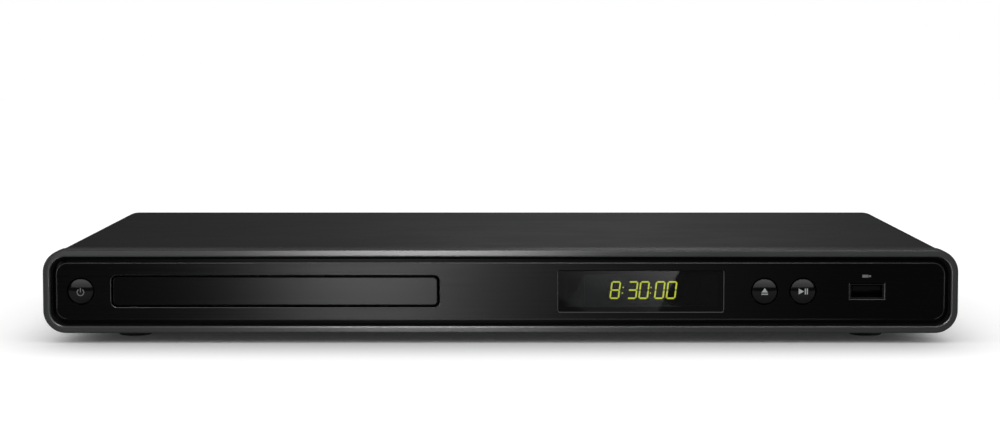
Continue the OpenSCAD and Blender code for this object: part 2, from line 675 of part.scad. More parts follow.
module loader_frame() color("#2c2e30") loader() difference() {
    union() {
        for (s = [-1, 1]) {
            box_side(s, frame_half - wall_t, frame_half, frame_y, frame_end, frame_z, mid_z + 3.5);
            box_side(s, frame_half - wall_t, frame_half, spindle_y - 18, spindle_y + 18, mid_z + 3, bridge_z);
            box_side(s, tray_half - 4, frame_half - 1, frame_y, frame_end, ledge_z - 1.6, ledge_z);
            box_side(s, rail_half, frame_half - 1, frame_y + 4, frame_end,
                tray_floor + 0.3, tray_floor + 1.7);
        }
        box(-frame_half, frame_half, frame_y, spindle_y + plate_front - 0.7, frame_z, frame_floor);
        box(-frame_half, frame_half, pivot_y + 6, frame_end, frame_z, frame_floor);
        for (s = [-1, 1]) box_side(s, tray_half - 5, frame_half, frame_y, frame_end, frame_z, frame_floor);
        box(-frame_half, frame_half, frame_y, frame_y + wall_t, frame_z, mid_z - doorway_h / 2 - 0.5);
        box(-frame_half, frame_half, frame_end - wall_t, frame_end, frame_z, ledge_z);
        for (p = frame_posts) post(p[0] - tray_x, p[1], frame_z, frame_floor, 4);
        hinge_lugs();
        cam_guides();
        post(drive_x, drive_y, frame_z, tray_floor - 0.4, 2);
        post(pulley_x, drive_y, frame_z, belt_z + 2.2, 1.8);
        difference() {
            post(motor_x, drive_y, frame_z, frame_floor + 2.6, 10.6);
            post(motor_x, drive_y, frame_z - 1, frame_floor + 4, 9.15);
        }
    }
    post(motor_x, drive_y, frame_z - 1, frame_floor + 0.5, 9.15);
    for (p = frame_posts) post(p[0] - tray_x, p[1], frame_z - 1, frame_floor + 1, 1.35);
    for (p = frame_posts) post(p[0] - tray_x, p[1], frame_floor, ledge_z - 1.4, 3.4);
    rod_x(-frame_half, frame_half, pivot_y, pivot_z, hinge_r + 0.05);
    for (s = [-1, 1]) bridge_pilot(s);
}

module box_side(s, x0, x1, y0, y1, z0, z1) box(s > 0 ? x0 : -x1, s > 0 ? x1 : -x0, y0, y1, z0, z1);

hinge_r = 2;
hinge_in = 4;
// Two lugs that hold the traverse's hinge pins
module hinge_lugs() for (lug = [[plate_left - 5, plate_left - 0.6], [plate_right + 0.6, plate_right + 5]])
    box(lug[0], lug[1], pivot_y - 4, pivot_y + 9, frame_z, pivot_z + 3.6);

// Two low fences keep the slide cam upright.
module cam_guides() for (y = [spindle_y + cam_y - 1.2, spindle_y + cam_y + cam_t + 0.2])
    for (x = [-cam_half - 6, cam_half + 4])
        box(x, x + 10, y, y + 1, frame_z, frame_floor + 2.6);

module bridge_pilot(s) post(s * (frame_half - wall_t / 2), spindle_y, bridge_z - 4, bridge_z + 1, 0.6);

module loading_motor() color("#b9bcbe") loader() difference() {
    union() {
        post(motor_x, drive_y, frame_z - 0.6, pulley_z - 0.7, 9);
        post(motor_x, drive_y, pulley_z - 0.8, pulley_z - 0.2, 3);
    }
    post(motor_x, drive_y, frame_floor + 3, belt_z, 1.05);
}

// A pulley with a groove for the flat belt
module pulley(r, h, bore) rotate_extrude() polygon([[bore, 0], [r + rim, 0], [r + rim, 0.4], [r, 0.6],
    [r, h - 0.6], [r + rim, h - 0.4], [r + rim, h], [bore, h]]);

rim = 0.9;
pulley_h = belt_h + 1.6;
pulley_z = belt_z - 0.8;
module motor_pulley() color("#e8e4d8") loader() translate([motor_x, drive_y, pulley_z]) {
    pulley(motor_pulley_r, pulley_h, 0.9);
    translate([0, 0, frame_floor + 3.2 - pulley_z])
        cylinder(r = 1, h = pulley_z - frame_floor - 3.2 + pulley_h);
}

module pulley_gear() color("#e8e4d8") loader() translate([pulley_x, drive_y, 0]) difference() {
    union() {
        translate([0, 0, pulley_z]) pulley(pulley_r, pulley_h, 1.5);
        translate([0, 0, large_gear_z])
            gear(small_teeth, gear_m, gear_lash, pulley_z - large_gear_z + 0.1, 180 / small_teeth);
    }
    cylinder(r = 1.87, h = case_top);
}

// Outline of a band round two wheels, r1 at the origin and r2 at x = -d
function band(r1, r2, d) = let (a = acos((r1 - r2) / d), steps = 14) concat(
    [for (i = [0:2 * steps]) turned(r1, a - 180 + (180 - a) * i / steps)],
    [for (i = [0:steps]) [-d, 0] + turned(r2, 180 - a + 2 * a * i / steps)]);

belt_gap = 0.15;
module belt_line(out)
    polygon(band(pulley_r + belt_gap + out, motor_pulley_r + belt_gap + out, pulley_x - motor_x));
module drive_belt() color("#1b1b1b") loader() translate([pulley_x, drive_y, belt_z])
    linear_extrude(belt_h) difference() {
        belt_line(belt_t);
        belt_line(0);
    }

module drive_gear() color("#f0ede2") loader() translate([drive_x, drive_y, 0]) difference() {
    union() {
        translate([0, 0, large_gear_z]) gear(large_teeth, gear_m, gear_lash, large_gear_h, 180);
        translate([0, 0, large_gear_z]) cylinder(r = 4.5, h = skirt_z + 0.3 - large_gear_z);
        translate([0, 0, skirt_z + 0.2])
            gear(drive_teeth, gear_m, gear_lash, tray_floor - skirt_z - 0.5, 180 / drive_teeth);
    }
    cylinder(r = 2.07, h = case_top);
}

module disc_tray() color("#26282a") loader() difference() {
    union() {
        box(-tray_half, tray_half, tray_y, tray_end, tray_floor, tray_top);
        for (s = [-1, 1]) {
            box_side(s, tray_half - skirt_w, tray_half, tray_y, tray_end - 4, skirt_z, tray_floor + 0.2);
            box_side(s, tray_half - 1, wing_half, wing_y, tray_end, tray_floor - 1.3, tray_floor);
        }
        box(-tray_half + 6, tray_half - 6, tray_y, tray_y + 2.2, skirt_z, tray_floor + 0.2);
        tray_rack();
    }
    post(0, spindle_y, seat_z, tray_top + 1, recess_r);
    post(0, spindle_y, small_seat_z, tray_top + 1, small_disc_d / 2);
    post(0, spindle_y, skirt_z, tray_top + 1, 18);
    box(-slot_half, slot_half, spindle_y, slot_end, skirt_z, tray_top + 1);
    box(-slot_half - 2.5, slot_half + 2.5, slot_end - 1, tray_end + 1, skirt_z, channel_z);
    for (s = [-1, 1]) box_side(s, slot_half + 8, tray_half - 8, spindle_y + recess_r + 8, tray_end - 8,
        tray_floor + 1.5, tray_top + 1);
}

rack_first = -3;
rack_last = floor((tray_travel + 8) / (PI * gear_m));
module tray_rack() translate([rack_pitch_x, drive_y, skirt_z]) linear_extrude(tray_floor - skirt_z + 0.2)
    polygon(rack_points(gear_m, gear_lash, rack_first, rack_last, rack_back_x - rack_pitch_x));

door_bevel = 0.4;
module tray_door() color("#141414")
    translate([tray_x, y_front + fascia_recess + door_t, mid_z]) rotate([90, 0, 0])
        bevelled_plate(door_w, door_h, door_r, door_t, door_bevel, door_bevel);

module slide_cam() color("#e8e4d8") loader() translate([0, spindle_y + cam_y, 0]) difference() {
    box(-cam_half, cam_half, 0, cam_t, frame_floor + 0.1, tray_floor - 0.4);
    cam_slot();
}
cam_slot_r = cam_pin_r + 0.2;
module cam_slot() {
    rise = cam_pin_z - cam_low_z;
    angle = atan2(rise, -cam_travel);
    translate([0, -1, cam_low_z]) rotate([0, -angle, 0]) translate([0, 0, -cam_slot_r])
        cube([norm([rise, cam_travel]), cam_t + 2, 2 * cam_slot_r]);
    rod_y(0, -1, cam_t + 1, cam_low_z, cam_slot_r);
    rod_y(-cam_travel, -1, cam_t + 1, cam_pin_z, cam_slot_r);
}

puck_hole_r = 12.8;
module clamper_bridge() color("#a9adb0") loader() difference() {
    union() {
        box(-frame_half, frame_half, spindle_y - 18, spindle_y + 18, bridge_z, bridge_z + bridge_t);
        for (y = [spindle_y - 18, spindle_y + 17])
            box(-frame_half + 10, frame_half - 10, y, y + 1, bridge_z + bridge_t - 0.1, bridge_z + 3);
    }
    post(0, spindle_y, bridge_z - 1, bridge_z + 2, puck_hole_r);
    for (s = [-1, 1]) post(s * (frame_half - wall_t / 2), spindle_y, bridge_z - 1, bridge_z + 2, 0.7);
}

puck_z = mid_z + 4.3;
puck_neck = bridge_z - puck_z + bridge_t + 0.1;
module clamper_puck() color("#dcdcd6") loader() translate([0, spindle_y, puck_z]) rotate_extrude() polygon([
    [0, 1.3], [7.9, 1.3], [8.3, 0], [14, 0], [14, 0.9], [puck_hole_r - 0.4, 0.9],
    [puck_hole_r - 0.4, puck_neck], [puck_hole_r + 1.7, puck_neck], [puck_hole_r + 1.7, puck_neck + 1.1],
    [0, puck_neck + 1.7]]);

module traverse_plate() color("#b8bcbf") from_spindle() difference() {
    union() {
        box(plate_left, plate_right, plate_front, plate_end, plate_z, plate_z + plate_t);
        box(plate_left, plate_left + 1.2, plate_front + 8, lift_arm + 3, plate_z, plate_z + 2.4);
        box(plate_right - 1.2, plate_right, plate_front + 8, lift_arm + 3, plate_z, plate_z + 2.4);
        hinge_pins();
        rod_y(0, cam_y - 0.5, plate_front + 0.5, cam_pin_z, cam_pin_r);
        box(-2.5, 2.5, plate_front, plate_front + 1.2, plate_z, cam_pin_z + 1.6);
        rod_holders();
        post(sled_gear_x, sled_gear_y, plate_z, sled_large_z + sled_large_h + 0.1, 1.2);
    }
    box(-20, 20, rod_front + 5, plate_end - 8, plate_z - 1, plate_z + plate_t + 0.1);
    post(0, 0, plate_z - 1, plate_z + plate_t + 1, 4.2);
    post(sled_gear_x, sled_pinion_y, plate_z - 1, plate_z + plate_t + 1, 1.6);
}
module hinge_pins() {
    rod_x(plate_left - hinge_in, plate_left + 1.2, lift_arm, pivot_z, hinge_r);
    rod_x(plate_right - 1.2, plate_right + hinge_in, lift_arm, pivot_z, hinge_r);
}

holder_w = 4.4;
module rod_holders() for (s = [-1, 1], y = [rod_front - 0.5, rod_end - 3.5]) difference() {
    box(s * rod_x - holder_w / 2, s * rod_x + holder_w / 2, y, y + 4,
        plate_z + plate_t - 0.2, rod_z + rod_r - 0.2);
    rod_y(s * rod_x, y - 1, y + 5, rod_z, rod_r);
}

module guide_rods() color("#d5d8da") from_spindle() for (s = [-1, 1])
    rod_y(s * rod_x, rod_front, rod_end, rod_z, rod_r);

motor_top = disc_z - 2.6;
module spindle_motor() color("#7c8083") from_spindle() difference() {
    union() {
        post(0, 0, plate_z + plate_t, motor_top, 10);
        post(0, 0, plate_z - 1.5, plate_z + plate_t + 0.1, 4.1);
    }
    post(0, 0, plate_z, motor_top + 1, 1.3);
}

table_r = 14;
hub_r = 7.35;
module turntable() color("#2a2a2a") from_spindle() {
    translate([0, 0, disc_z]) rotate_extrude() polygon([[0, -2.2], [table_r, -2.2], [table_r, 0],
        [hub_r, 0], [hub_r, hub_h * 0.5], [hub_r - 1.6, hub_h], [0, hub_h]]);
    post(0, 0, plate_z + 1, disc_z - 2.1, 1.2);
}

module sled_motor() color("#b9bcbe") from_spindle() difference() {
    post(sled_gear_x, sled_pinion_y, plate_z - 4.6, plate_z, 6);
    post(sled_gear_x, sled_pinion_y, plate_z - 3, plate_z + 1, 0.95);
}

module sled_pinion() color("#d8b35a") from_spindle() translate([sled_gear_x, sled_pinion_y, 0]) {
    translate([0, 0, sled_large_z]) gear(sled_drive, sled_m, sled_lash, sled_large_h, -90 + 180 / sled_drive);
    post(0, 0, plate_z - 2.6, sled_large_z + 0.1, 0.8);
}

module sled_gear() color("#f0ede2") from_spindle() translate([sled_gear_x, sled_gear_y, 0]) difference() {
    union() {
        translate([0, 0, sled_large_z]) gear(sled_large, sled_m, sled_lash, sled_large_h, 90);
        translate([0, 0, sled_rack_z])
            gear(sled_small, sled_m, sled_lash, sled_large_z - sled_rack_z + 0.1, 180 / sled_small);
    }
    cylinder(r = 1.27, h = case_top);
}

lens_z = disc_z - 3.4;                  // top of the lens housing
arm_left = rod_x + rod_r + 1.1;
module pickup_sled() color("#8f9396") from_spindle() difference() {
    union() {
        box(-arm_left, arm_left, sled_front, sled_front + sled_len, plate_z + plate_t + 0.3, rod_z + 1.7);
        box(-17, 17, sled_front + 1, sled_front + sled_len - 1, plate_z - 2, plate_z + plate_t + 0.4);
        box(-12, 12, sled_front + 2, sled_front + sled_len - 4, rod_z + 1.6, lens_z);
        sled_rack();
    }
    rod_y(-rod_x, sled_front - 1, sled_front + sled_len + 1, rod_z, rod_r + 0.06);
    box(rod_x - rod_r - 0.1, arm_left + 1, sled_front - 1, sled_front + sled_len + 1,
        rod_z - rod_r - 0.06, rod_z + rod_r + 0.06);
    for (x = [-9, 9]) box(x - 2, x + 2, lens_y - 6, lens_y + 6, lens_z - 1.2, disc_z);
}
sled_rack_first = -ceil((pickup_travel + 4) / (PI * sled_m));
sled_rack_back = -rod_x - holder_w / 2 - 0.8;
// The pickup's rack, teeth towards -X, long enough for its whole travel
module sled_rack() {
    translate([sled_rack_x, sled_gear_y, sled_rack_z]) linear_extrude(sled_rack_h)
        polygon(rack_points(sled_m, sled_lash, sled_rack_first, 2, sled_rack_back - sled_rack_x));
    box(sled_rack_back - 0.5, -arm_left + 0.5, sled_front + 1, sled_front + sled_len - 1,
        sled_rack_z, sled_rack_z + sled_rack_h);
}

module pickup_lens() color("#9fb8d8") from_spindle() {
    translate([0, lens_y, lens_z]) cylinder(r = lens_r, h = 0.9);
    translate([0, lens_y, lens_z + 0.8]) rotate_extrude() polygon([[0, 0], [2.3, 0], [1.8, 0.4], [0, 0.7]]);
}

// ---------- boards and rear ----------

module main_board() color("#1d6b3a") difference() {
    box(main_x, main_x + main_w, main_y, main_y + main_d, pcb_z, pcb_top);
    for (p = main_posts) post(p[0], p[1], pcb_z - 1, pcb_top + 1, 1.3);
}

main_end = main_x + main_w;
module board_chips() color("#161616") {
    box(main_x + 28, main_x + 52, main_y + 34, main_y + 58, pcb_top, pcb_top + 1.5);
    box(main_end - 24, main_end - 13, main_y + 36, main_y + 55, pcb_top, pcb_top + 1.2);
    box(main_x + 14, main_x + 26, main_y + 30, main_y + 40, pcb_top, pcb_top + 1.5);
    box(main_x + 14, main_x + 24, main_y + 62, main_y + 68, pcb_top, pcb_top + 1.5);
    for (x = [main_x + 28:10:main_x + 48]) box(x, x + 5, main_y + 74, main_y + 78, pcb_top, pcb_top + 1.4);
}

module capacitor(x, y, r, h) translate([x, y, pcb_top]) rotate_extrude()
    polygon([[0, 0], [r, 0], [r, h * 0.1], [r - 0.2, h * 0.13], [r, h * 0.16],
        [r, h - 0.3], [r - 0.4, h], [0, h - 0.2]]);
module board_capacitors() color("#2a3358") {
    for (i = [0:5]) capacitor(main_x + 18 + (main_w - 39) / 5 * i, main_y + 22, 2.5, 7);
    for (i = [0:3]) capacitor(main_end - 38 + 8 * i, main_y + 70, 2, 5.4);
    for (i = [0:2]) capacitor(main_end - 7, main_y + 38 + 9 * i, 3.1, 8);
}

module socket_body(x0, x1, top) box(x0, x1, y_rear - panel_t - jack_block_d, y_rear - panel_t, pcb_top, top);

module jack_block() color("#151515") difference() {
    union() {
        socket_body(jack_first_x - jack_pitch / 2, jack_first_x + 2.5 * jack_pitch, jack_rows[1] + 6);
        socket_body(coax_x - 6, coax_x + 6, jack_low_z + 6);
    }
    for (p = jack_places) rod_y(p[0], y_rear - panel_t - 8, y_rear, p[1], 3.45);
}

jack_places = concat([for (z = jack_rows, c = jack_cols) [jack_first_x + c * jack_pitch, z]],
    [[coax_x, jack_low_z]]);
module jack_barrels() color("#c9b05a") for (p = jack_places) difference() {
    union() {
        rod_y(p[0], y_rear - panel_t, y_rear + 0.1, p[1], jack_d / 2);
        rod_y(p[0], y_rear, y_rear + flange_t, p[1], jack_d / 2 + 1);
        rod_y(p[0], y_rear, y_rear + jack_out, p[1], jack_d / 2);
    }
    rod_y(p[0], y_rear - 2, y_rear + jack_out + 1, p[1], 3.45);
}
module jack_inserts() color("#e0c020") for (p = jack_places) difference() {
    rod_y(p[0], y_rear - panel_t - 8, y_rear + jack_out - 0.6, p[1], 3.35);
    rod_y(p[0], y_rear - panel_t, y_rear + jack_out + 1, p[1], 1.6);
}

module supply_board() color("#b08a4a") difference() {
    box(supply_x, supply_x + supply_w, supply_y, supply_y + supply_d, pcb_z, pcb_top);
    for (p = supply_posts) post(p[0], p[1], pcb_z - 1, pcb_top + 1, 1.3);
}

module supply_transformer() color("#c8b060") {
    x = supply_x + 24;
    y = supply_y + 74;
    box(x, x + 22, y, y + 6, pcb_top, pcb_top + 15);
    box(x, x + 22, y + 16, y + 22, pcb_top, pcb_top + 15);
    box(x + 3, x + 19, y + 6, y + 16, pcb_top + 1, pcb_top + 14);
    box(x + 1, x + 21, y + 6, y + 16, pcb_top, pcb_top + 1);
}

module supply_heatsink() color("#b9bdc0") {
    x = supply_x + 14;
    y = supply_y + 40;
    for (i = [0:5]) box(x + 5 * i, x + 5 * i + 1, y, y + 9, pcb_top, pcb_top + 19);
    box(x, x + 26, y + 9, y + 11, pcb_top, pcb_top + 19);
}

module supply_capacitors() color("#20242c") {
    capacitor(supply_x + 16, supply_y + 116, 8, 20);
    capacitor(supply_x + 12, supply_y + 24, 4, 12);
    capacitor(supply_x + 24, supply_y + 24, 4, 12);
    capacitor(supply_x + 38, supply_y + 22, 3, 10);
}

// Two-pin figure-of-eight inlet, open towards the back
module inlet_outline() for (s = [-1, 1]) translate([s * inlet_pin_pitch / 2, 0]) circle(3.85);
module mains_inlet() color("#101010") translate([inlet_x, 0, inlet_z]) difference() {
    union() {
        box(-inlet_w / 2, inlet_w / 2, y_rear - inlet_d, y_rear + 0.6, -inlet_h / 2, inlet_h / 2);
        box(-inlet_w / 2 - 1.5, inlet_w / 2 + 1.5, y_rear, y_rear + 0.8,
            -inlet_h / 2 - 1.5, inlet_h / 2 + 1.5);
        box(-inlet_w / 2, inlet_w / 2, y_rear - inlet_d, y_rear - panel_t - 8,
            pcb_top - inlet_z, -inlet_h / 2 + 0.1);
    }
    translate([0, y_rear + 2, 0]) rotate([90, 0, 0]) linear_extrude(14.5) {
        inlet_outline();
        square([inlet_pin_pitch, 6.8], center = true);
    }
    for (s = [-1, 1]) rod_y(s * inlet_pin_pitch / 2, y_rear - 16, y_rear, 0, inlet_pin_r);
}
module inlet_pins() color("#c9ccce") for (s = [-1, 1])
    rod_y(inlet_x + s * inlet_pin_pitch / 2, y_rear - 16, y_rear - 1.6, inlet_z, inlet_pin_r);

// A flat run of leads: points in X and Z, swept along nothing but its own width in Y
module front_harness() color("#d8d8d8") {
    y0 = y_front + board_d + board_t;
    x0 = main_end - 44;
    x1 = x0 + 16;
    box(x0, x1, y0, y0 + 4, floor_z + 3, floor_z + 9);
    box(x0 + 1, x1 - 1, y0 + 4, main_y + 6, floor_z + 5, floor_z + 5.8);
    box(x0 + 1, x1 - 1, main_y + 5.2, main_y + 6, floor_z + 5, pcb_top + 3);
    box(x0, x1, main_y + 3.4, main_y + 9, pcb_top, pcb_top + 5);
}

module supply_harness() color("#c23b2e") {
    y0 = main_y + 12;
    box(main_end - 10, main_end - 4, y0, y0 + 12, pcb_top, pcb_top + 6);
    box(main_end - 4.1, supply_x + 5.1, y0 + 1, y0 + 11, pcb_top + 3.4, pcb_top + 4.6);
    box(supply_x + 5, supply_x + 11, y0, y0 + 12, pcb_top, pcb_top + 6);
}

module loader_ribbon() color("#dcdcdc") {
    y0 = main_y + 42;
    x0 = tray_x + frame_half;
    box(main_x + 2, main_x + 7, y0, y0 + 20, pcb_top, pcb_top + 3);
    box(x0 + 2.5, main_x + 2.5, y0 + 2, y0 + 18, pcb_top + 1.7, pcb_top + 2);
    box(x0, x0 + 3, y0, y0 + 20, pcb_top, pcb_top + 3);
}

bottom_chassis();
rear_panel();
top_cover();
trim_ring();
front_carrier();
fascia_plate();
display_window();
display_module();
display_digits();
front_board();
standby_board();
tact_switches();
usb_shell();
usb_tongue();
remote_receiver();
power_button();
power_plunger();
eject_button();
eject_plunger();
play_button();
play_plunger();
feet();
foot_pads();
loader_frame();
loading_motor();
motor_pulley();
drive_belt();
pulley_gear();
drive_gear();
disc_tray();
tray_door();
slide_cam();
clamper_bridge();
clamper_puck();
traverse_plate();
spindle_motor();
turntable();
guide_rods();
sled_motor();
sled_pinion();
sled_gear();
pickup_sled();
pickup_lens();
main_board();
board_chips();
board_capacitors();
jack_block();
jack_barrels();
jack_inserts();
supply_board();
supply_transformer();
supply_heatsink();
supply_capacitors();
mains_inlet();
inlet_pins();
front_harness();
supply_harness();
loader_ribbon();
cover_screws();
inner_screws();
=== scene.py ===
"""Slim disc player with a motor-driven tray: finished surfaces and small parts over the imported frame."""
import json
import math

import bmesh
import bpy
from mathutils import Matrix, Vector


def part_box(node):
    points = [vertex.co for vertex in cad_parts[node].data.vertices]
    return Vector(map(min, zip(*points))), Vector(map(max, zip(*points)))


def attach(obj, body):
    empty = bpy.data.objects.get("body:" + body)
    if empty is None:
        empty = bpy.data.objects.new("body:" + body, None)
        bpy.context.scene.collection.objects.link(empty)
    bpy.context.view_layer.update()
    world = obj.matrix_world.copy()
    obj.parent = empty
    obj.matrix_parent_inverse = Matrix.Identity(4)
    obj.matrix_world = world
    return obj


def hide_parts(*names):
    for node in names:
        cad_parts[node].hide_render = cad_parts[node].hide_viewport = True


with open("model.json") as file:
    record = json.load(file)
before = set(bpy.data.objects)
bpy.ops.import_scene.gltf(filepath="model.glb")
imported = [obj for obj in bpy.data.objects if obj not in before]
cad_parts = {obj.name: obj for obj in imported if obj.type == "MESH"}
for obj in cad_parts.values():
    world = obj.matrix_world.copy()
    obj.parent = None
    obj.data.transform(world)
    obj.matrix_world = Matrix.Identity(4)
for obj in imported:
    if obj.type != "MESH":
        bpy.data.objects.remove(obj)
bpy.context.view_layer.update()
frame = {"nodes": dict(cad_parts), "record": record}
NODES = frame["nodes"]
MM = 0.001

# Places and sizes in millimetres, as the part's source has them
FACE_Y = -104.5          # face of the trim ring
MID_Z = 20.5             # middle of the front
CASE_W, CASE_H, CORNER_R = 360.0, 33.0, 9.0
RING_T, RING_D = 2.8, 10.0    # the trim ring's width and depth
BEHIND_FASCIA = 0.82     # a hair behind the fascia's face, from the ring's
TRAY_X = -88.6           # middle of the doorway, as WINDOW_X and USB_X are of theirs
WINDOW_X, WINDOW_W, WINDOW_H = 55.2, 65.6, 16.8
BUTTONS = {"power": -165.2, "eject": 103.9, "play": 119.0}
USB_X = 144.2


# ---------- shader groups ----------

class Wires:
    """A node tree with short ways to add, set and link nodes."""

    def __init__(self, tree):
        self.tree = tree

    def add(self, kind, sets=None, **ins):
        node = self.tree.nodes.new(kind)
        for key, value in (sets or {}).items():
            setattr(node, key, value)
        for key, value in ins.items():
            self.feed(value, node.inputs[key.replace("_", " ")])
        return node

    def feed(self, value, socket):
        if hasattr(value, "is_output"):
            self.tree.links.new(value, socket)
        else:
            socket.default_value = value

    def worked(self, kind, how, values):
        node = self.add(kind, {"operation": how})
        for value, socket in zip(values, node.inputs):
            self.feed(value, socket)
        return node.outputs

    def math(self, how, *values):
        return self.worked("ShaderNodeMath", how, values)[0]

    def vector(self, how, *values):
        return self.worked("ShaderNodeVectorMath", how, values)[0]

    def ramp(self, value, low, high, to_low=0.0, to_high=1.0):
        return self.add("ShaderNodeMapRange", {"interpolation_type": "SMOOTHSTEP"}, Value=value, From_Min=low,
                        From_Max=high, To_Min=to_low, To_Max=to_high).outputs["Result"]

    def mix(self, factor, a, b):
        node = self.add("ShaderNodeMix", {"data_type": "RGBA"})
        for value, place in ((factor, 0), (a, 6), (b, 7)):
            self.feed(value, node.inputs[place])
        return node.outputs[2]

    def noise(self, place, scale, detail=2.0, rough=0.5):
        return self.add("ShaderNodeTexNoise", Vector=place, Scale=scale, Detail=detail,
                        Roughness=rough).outputs[0]

    def squeeze(self, place, x, y, z):
        return self.vector("MULTIPLY", place, self.add("ShaderNodeCombineXYZ", X=x, Y=y, Z=z).outputs[0])


def add_socket(tree, way, label, kind):
    return tree.interface.new_socket(name=label, in_out=way, socket_type="NodeSocket" + kind)


def shader_group(name, inputs, outputs, build):
    """A node group with a Place input. inputs has the start values of the others, outputs its kinds."""
    tree = bpy.data.node_groups.new(name, "ShaderNodeTree")
    add_socket(tree, "INPUT", "Place", "Vector")
    for label, start in inputs.items():
        kind = "Float" if isinstance(start, float) else "Color"
        add_socket(tree, "INPUT", label, kind).default_value = start
    for label, kind in outputs.items():
        add_socket(tree, "OUTPUT", label, kind)
    w = Wires(tree)
    ends = tree.nodes.new("NodeGroupOutput")
    for label, value in build(w, tree.nodes.new("NodeGroupInput").outputs).items():
        w.feed(value, ends.inputs[label])
    return tree


def build_grain(w, i):
    scale = w.math("DIVIDE", 1000.0, i["Size"])
    fine = w.noise(i["Place"], scale, 3.0, 0.6)
    coarse = w.noise(i["Place"], w.math("MULTIPLY", scale, 0.21), 1.0)
    return {"Height": w.math("MULTIPLY_ADD", coarse, 0.5, fine)}


GRAIN = shader_group("fine_grain", {"Size": 0.4}, {"Height": "Float"}, build_grain)


def build_brush(w, i):
    across = w.math("DIVIDE", 1000.0, i["Line"])
    along = w.math("DIVIDE", 1000.0, i["Run"])
    fine = w.noise(w.squeeze(i["Place"], along, across, across), 1.0, 4.0, 0.65)
    wide = w.math("MULTIPLY", across, 0.17)
    broad = w.noise(w.squeeze(i["Place"], w.math("MULTIPLY", along, 0.4), wide, wide), 1.0, 1.0)
    return {"Height": fine, "Streak": w.ramp(w.math("MULTIPLY_ADD", broad, 0.7, fine), 0.6, 1.1)}


BRUSH = shader_group("brushed_lines", {"Line": 0.25, "Run": 30.0}, {"Height": "Float", "Streak": "Float"},
                     build_brush)


def build_handling(w, i):
    haze = w.noise(i["Place"], 22.0, 3.0, 0.55)
    wipe = w.noise(w.squeeze(i["Place"], 30.0, 90.0, 90.0), 1.0, 2.0)
    both = w.math("MULTIPLY_ADD", wipe, 0.35, w.math("MULTIPLY", haze, 0.65))
    return {"Roughness": w.ramp(both, 0.35, 0.65, i["Low"], i["High"])}


HANDLING = shader_group("handling_haze", {"Low": 0.3, "High": 0.4}, {"Roughness": "Float"}, build_handling)


def build_dust(w, i):
    up = w.add("ShaderNodeSeparateXYZ", Vector=w.add("ShaderNodeNewGeometry").outputs["Normal"])
    lying = w.ramp(up.outputs[2], 0.6, 0.95)
    specks = w.ramp(w.noise(i["Place"], 2600.0, 1.0), 0.66, 0.74)
    film = w.ramp(w.noise(i["Place"], 30.0, 3.0), 0.3, 0.8)
    thick = w.math("MULTIPLY", i["Amount"], w.math("MULTIPLY_ADD", specks, 0.6, film))
    mask = w.math("MULTIPLY", lying, thick)
    return {"Colour": w.mix(mask, i["Colour"], (0.32, 0.31, 0.29, 1.0)), "Mask": mask}


DUST = shader_group("settled_dust", {"Colour": (0.0, 0.0, 0.0, 1.0), "Amount": 0.05},
                    {"Colour": "Color", "Mask": "Float"}, build_dust)


def build_tone(w, i):
    cloud = w.noise(i["Place"], w.math("DIVIDE", 1000.0, i["Size"]), 2.0)
    return {"Colour": w.mix(w.ramp(cloud, 0.3, 0.7), i["Colour"], i["Other"])}


TONE = shader_group("tone_drift",
                    {"Colour": (0.5, 0.5, 0.5, 1.0), "Other": (0.4, 0.4, 0.4, 1.0), "Size": 20.0},
                    {"Colour": "Color"}, build_tone)


# ---------- finishes ----------

FINISH = {}


def material(name, **sets):
    """A material, its wires and its Principled BSDF with some inputs set."""
    mat = bpy.data.materials.new(name)
    mat.use_nodes = True
    shader = mat.node_tree.nodes["Principled BSDF"]
    for label, value in sets.items():
        shader.inputs[label.replace("_", " ")].default_value = value
    return mat, Wires(mat.node_tree), shader


